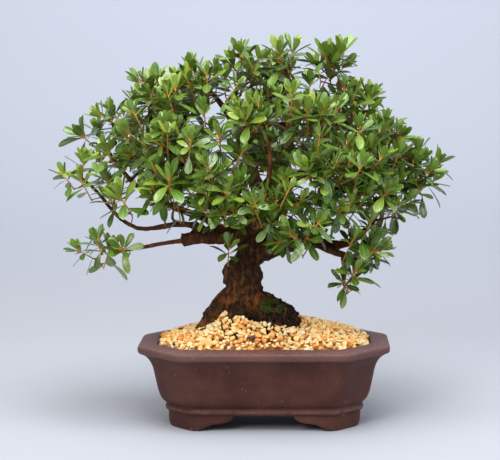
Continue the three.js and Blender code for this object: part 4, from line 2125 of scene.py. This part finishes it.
    def build(self, shoots: list[Shoot]) -> None:
        """Makes and dresses the leaves of each clump.

        Args:
            shoots: All shoots, with their paths.
        """
        material = self.finish.material()
        total = 0
        for name in self.clumps:
            batch = Batch()
            for shoot in (s for s in shoots if s.clump == name):
                total += self.dress_shoot(shoot, batch)
            piece = batch.piece(name.replace("leaves_", "foliage_"), material)
            piece.data.set_sharp_from_angle(angle=math.radians(60))
            finish_piece(piece, "leaves", name)
        LOG.info("%d leaves", total)


# ---------------- round the foot


@dataclass
class RootMat:
    """Old soil held by a mat of fine dark roots at the foot of the trunk."""

    finish: MatFinish = MatFinish(
        "root_mat", colour("0f0a08"), colour("2a1b13"), colour("4d3526"), 1.6 * MM, 0.8 * MM
    )
    strand_finish: MatFinish = MatFinish("fine_root", colour("21150e"), colour("553a28"), colour("8a6446"))
    skin: float = 0.8 * MM
    end_drop: float = 9 * MM
    strands: int = 230
    stout_strands: int = 16
    strand_step: float = 2.2 * MM
    crumbs: int = 420

    def __post_init__(self) -> None:
        """Starts the chance shapes of the roots and crumbs."""
        self.rng = np.random.default_rng(9)

    def build(self) -> Piece:
        """Models and dresses the mat with its loose roots and crumbs of soil.

        Returns:
            The mat.
        """
        mat = copy_nodes("root_mat", ["fibrous_roots"], 0.2 * MM)
        voxel_remesh(mat, self.skin)
        points = self.lumpy(mesh_points(mat.data), mesh_normals(mat.data))
        set_points(mat.data, points)
        mat.data.materials.append(self.finish.material())
        finish_piece(mat, "fibrous_roots", "fibrous_roots")
        normals = mesh_normals(mat.data)
        up = np.flatnonzero((normals[:, 2] > -0.1) & (points[:, 2] > POT_TOP))
        self.loose_roots(points[up], surface_tree([mat.data]))
        self.soil_crumbs(points, normals, up)
        return mat

    def lumpy(self, points: Array, normals: Array) -> Array:
        """Vertices of the mat moved into lumps, and lowered towards its right end.

        Args:
            points: Vertices of the even skin.
            normals: Their normals.

        Returns:
            The moved vertices.
        """
        lift = 3.6 * smooth_noise(points, 8 * MM, 1) + 2.8 * smooth_noise(points, 3.6 * MM, 2)
        lift += 1.1 * smooth_noise(points, 1.7 * MM, 3)
        points = points + normals * (lift * MM)[:, None]
        low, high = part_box("fibrous_roots")
        slope = np.clip((points[:, 0] - (low.x + high.x) / 2) / (high.x - low.x) * 2, 0, 1) ** 2
        points[:, 2] -= np.where(points[:, 2] > POT_TOP + 6 * MM, self.end_drop * slope, 0)
        return points

    def loose_roots(self, starts: Array, tree: BVHTree) -> None:
        """Fine roots, then stouter ones, that creep over the mat.

        Args:
            starts: Points where a root may begin.
            tree: The mat's surface.
        """
        rng = self.rng
        batch = Batch()
        for number in range(self.strands + self.stout_strands):
            stout = number >= self.strands
            at = rng.choice(starts)
            pull = np.array([0, 0, -0.7 if stout else -0.25])
            way = unit(rng.normal(size=3) * np.array([1, 1, 0.4]) + pull)
            path = [at]
            for _ in range(int(rng.integers(4, 9)) + 4 * stout):
                way = unit(way + rng.normal(0, 0.33, 3))
                ahead = path[-1] + way * self.strand_step
                near, normal, _, _ = tree.find_nearest(Vector(ahead))
                path.append(np.array(near + normal * float(rng.uniform(0.0, 1.5)) * MM))
            thick = rng.uniform(0.95, 1.5) if stout else rng.uniform(0.3, 0.85)
            batch.add(*tube(np.array(path), np.linspace(1, 0.5, len(path)) * thick * MM, 5))
        finish_piece(batch.piece("fine_roots", self.strand_finish.material()), "fibrous_roots")

    def soil_crumbs(self, points: Array, normals: Array, up: Array) -> None:
        """Crumbs of old soil that lie on the mat.

        Args:
            points: The mat's vertices.
            normals: Their normals.
            up: Numbers of the vertices that face up.
        """
        rng = self.rng
        lumps = Batch()
        shape, faces = ball(2)
        for i in rng.choice(up, self.crumbs):
            rough = shape * (1 + 0.5 * smooth_noise(shape, 0.7, float(rng.uniform(0, 40))))[:, None]
            size = rng.uniform(0.7, 2.3) * MM
            middle = points[i] + normals[i] * size * rng.uniform(-0.2, 0.8)
            lumps.add(middle + (rough * rng.uniform(0.6, 1.1, 3)) @ turned(rng).T * size, faces)
        finish_piece(lumps.piece("soil_crumbs", self.finish.material()), "fibrous_roots")


@dataclass
class MossPatch:
    """Short cushions of moss on the root mat and low on the trunk."""

    wood: Piece
    mat: Piece
    finish: MatFinish = MatFinish(
        "moss_cushion", colour("1a2408"), colour("3f5117"), colour("788835"), 1.2 * MM, 0.7 * MM
    )
    skin: float = 0.7 * MM
    tufts: int = 520
    bark_tufts: int = 420
    bark_tuft_scale: float = 0.7
    bark_low: float = 2 * MM
    bark_high: float = 34 * MM

    def __post_init__(self) -> None:
        """Starts the batch of tufts."""
        self.rng = np.random.default_rng(23)
        self.batch = Batch()
        self.mould = ball(1)

    def build(self) -> None:
        """Models and dresses the moss."""
        material = self.finish.material()
        cushion = self.cushion()
        cushion.data.materials.append(material)
        finish_piece(cushion, "moss", "moss")
        self.cushion_tufts(cushion.data)
        self.tufts_on_bark()
        finish_piece(self.batch.piece("moss_tufts", material), "moss")

    def cushion(self) -> Piece:
        """The moss as a thin uneven layer over the wood and the mat.

        Returns:
            The cushion, without its finish.
        """
        cushion = copy_nodes("moss_cushion", ["moss"], 0.1 * MM)
        voxel_remesh(cushion, self.skin)
        points = mesh_points(cushion.data)
        normals = mesh_normals(cushion.data)
        tree = surface_tree([self.wood.data, self.mat.data])
        thin = 0.5 + 3.4 * smooth_noise(points, 5.5 * MM, 1) + 0.7 * smooth_noise(points, 1.8 * MM, 2)
        for i, (point, normal) in enumerate(zip(points, normals)):
            near, way, _, _ = tree.find_nearest(Vector(point))
            rise = thin[i] if way.dot(Vector(normal)) > 0 else -1.2
            points[i] = near + way * rise * MM
        set_points(cushion.data, points)
        return cushion

    def cushion_tufts(self, mesh: Mesh) -> None:
        """Adds tufts in patches on the cushion.

        Args:
            mesh: The cushion's mesh.
        """
        points = mesh_points(mesh)
        normals = mesh_normals(mesh)
        free = np.flatnonzero(normals[:, 2] > -0.3)
        patchy = free[smooth_noise(points[free], 7 * MM, 9) > -0.2]
        for i in self.rng.choice(patchy, self.tufts):
            self.tuft(points[i], normals[i])

    def tufts_on_bark(self) -> None:
        """Adds smaller tufts in patches low on the trunk."""
        points = mesh_points(self.wood.data)
        normals = mesh_normals(self.wood.data)
        height = points[:, 2] - POT_TOP
        low = (height > self.bark_low) & (height < self.bark_high) & (normals[:, 2] > 0.0)
        low = np.flatnonzero(low)
        patch = smooth_noise(points[low], 11 * MM, 4) > 0.12
        for i in self.rng.choice(low[patch], self.bark_tufts):
            self.tuft(points[i], normals[i], self.bark_tuft_scale)

    def tuft(self, place: Array, way: Array, scale: float = 1.0) -> None:
        """Adds one small pointed tuft.

        Args:
            place: Its foot.
            way: The way it grows.
            scale: Its size against a full tuft.
        """
        shape, faces = self.mould
        way = unit(way + self.rng.normal(0, 0.35, 3))
        size = self.rng.uniform(0.6, 1.25) * MM * scale
        across = unit(np.cross(way, self.rng.normal(size=3)))
        other = np.cross(way, across)
        drawn = shape * np.array([0.75, 0.75, 1.5]) * size
        drawn[:, :2] *= 1 - 0.45 * np.clip(shape[:, 2:3], 0, 1)
        self.batch.add(place + drawn @ np.array([across, other, way]), faces)


@dataclass
class Fittings:
    """The growing mix, and the mesh screens that their wires hold over the drain holes."""

    soil: MatFinish = MatFinish(
        "growing_mix", colour("1c130d"), colour("3b2a1e"), colour("6a5240"), 3 * MM, 1.2 * MM
    )
    plastic: PlasticFinish = PlasticFinish()
    wire: WireFinish = WireFinish()

    def build(self) -> None:
        """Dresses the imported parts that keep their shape."""
        finishes = {
            "soil": self.soil.material(),
            "drain_screen": self.plastic.material(),
            "screen_wire": self.wire.material(),
        }
        for start, material in finishes.items():
            for name, node in frame["nodes"].items():
                if name.startswith(start):
                    node.data.materials.clear()
                    node.data.materials.append(material)
                    LOG.info("%s: dressed", name)


# ---------------- studio


@dataclass(frozen=True)
class Lamp:
    """One soft round lamp: its place, width and target in metres and its power in watts."""

    name: str
    place: Triple
    width: float
    power: float
    tint: Colour
    target: Triple = (0, 0, 0.2)

    def build(self) -> None:
        """Hangs the lamp in the scene, turned to its target."""
        lamp = bpy.data.lights.new(self.name, "AREA")
        lamp.shape = "DISK"
        lamp.size = self.width
        lamp.energy = self.power
        lamp.color = self.tint[:3]
        piece = bpy.data.objects.new(self.name, lamp)
        bpy.context.scene.collection.objects.link(piece)
        piece.location = self.place
        aim = Vector(self.target) - Vector(self.place)
        piece.rotation_euler = aim.to_track_quat("-Z", "Y").to_euler()


@dataclass
class Studio:
    """Pale seamless floor, pale surroundings, soft lights and the camera."""

    finish: FloorFinish = FloorFinish()
    flat_radius: float = 1.7
    rise_radius: float = 1.3
    wall_height: float = 2.6
    camera_place: Triple = (38.75 * MM, -1493.8 * MM, 369.6 * MM)
    yaw: float = -0.0345
    pitch: float = 0.1219
    roll: float = -0.0085
    lens: float = 113.1
    sensor: float = 36
    sides: int = 96
    world_tint: Colour = colour("fbf8f3")
    world_strength: float = 0.85
    lamps: tuple[Lamp, ...] = (
        Lamp("sky_light", (0.0, -0.6, 1.7), 1.3, 38, colour("ffffff")),
        Lamp("front_light", (-0.8, -1.7, 1.25), 0.8, 20, colour("fff8ee")),
        Lamp("side_light", (1.4, -0.5, 0.9), 0.8, 9, colour("f4f8ff")),
        Lamp("backdrop_light", (0, 1.3, 2.1), 1.0, 50, colour("f0f5ff"), (0, 3.5, 1.2)),
    )

    def floor(self) -> None:
        """Round floor that curves up all round."""
        profile = [(0.0, 0.0), (self.flat_radius, 0.0)]
        for share in np.linspace(0.1, 1, 10):
            angle = share * math.pi / 2
            out = self.flat_radius + self.rise_radius * math.sin(angle)
            profile.append((out, self.rise_radius * (1 - math.cos(angle))))
        profile.append((self.flat_radius + self.rise_radius, self.wall_height))
        sides = self.sides
        turn = np.arange(sides) * 2 * math.pi / sides
        points = [(0.0, 0.0, 0.0)]
        for radius, height in profile[1:]:
            points.extend((radius * math.cos(a), radius * math.sin(a), height) for a in turn)
        faces: list[tuple[int, ...]] = [(0, 1 + i, 1 + (i + 1) % sides) for i in range(sides)]
        for row in range(len(profile) - 2):
            for i in range(sides):
                a = 1 + row * sides + i
                b = 1 + row * sides + (i + 1) % sides
                faces.append((a, a + sides, b + sides, b))
        new_piece("studio_floor", np.array(points), faces, self.finish.material())

    def surroundings(self) -> None:
        """Even pale light from all round."""
        world = bpy.data.worlds.new("studio")
        world.use_nodes = True
        background = world.node_tree.nodes["Background"]
        background.inputs["Color"].default_value = self.world_tint
        background.inputs["Strength"].default_value = self.world_strength
        bpy.context.scene.world = world

    def camera(self) -> None:
        """Camera in front of the pot and a little above it."""
        x, y, _ = box_middle("pot")
        middle = Vector((x, y, 0))
        data = bpy.data.cameras.new("camera")
        data.lens = self.lens
        data.sensor_width = self.sensor
        data.clip_start = 0.05
        data.clip_end = 20
        eye = bpy.data.objects.new("camera", data)
        bpy.context.scene.collection.objects.link(eye)
        ahead = Vector(
            (
                math.sin(self.yaw) * math.cos(self.pitch),
                math.cos(self.yaw) * math.cos(self.pitch),
                -math.sin(self.pitch),
            )
        )
        right = Vector((math.cos(self.yaw), -math.sin(self.yaw), 0))
        up = right.cross(ahead)
        side = right * math.cos(self.roll) + up * math.sin(self.roll)
        top = -right * math.sin(self.roll) + up * math.cos(self.roll)
        turn = Matrix((side, top, -ahead)).transposed()
        eye.matrix_world = Matrix.Translation(middle + Vector(self.camera_place)) @ turn.to_4x4()
        bpy.context.scene.camera = eye

    def build(self) -> None:
        """Sets up the whole studio."""
        self.floor()
        self.surroundings()
        for lamp in self.lamps:
            lamp.build()
        self.camera()
        view = bpy.context.scene.view_settings
        view.view_transform = "Standard"
        view.look = "None"
        LOG.info("studio: ready")


# ---------------- making


def main() -> None:
    """Builds the plant from the pot up."""
    logging.basicConfig(level=logging.INFO, format="%(message)s")
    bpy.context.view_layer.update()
    nodes = sorted(frame["nodes"])
    wood_names = [name for name in nodes if name in ("trunk", "leader") or name.startswith("limb_")]
    clumps = [name for name in nodes if name.startswith("leaves_")]
    Studio().build()
    ClayPot().build()
    Fittings().build()
    GrainLayer([*wood_names, "fibrous_roots", "moss"]).build()
    wood = Wood(wood_names).build()
    mat = RootMat().build()
    MossPatch(wood, mat).build()
    foliage = Foliage(clumps)
    shoots = foliage.shoots()
    twigs = TwigWork(wood)
    twigs.grow(shoots)
    twigs.young_ends(shoots)
    foliage.build(shoots)


if __name__ == "__main__":
    main()
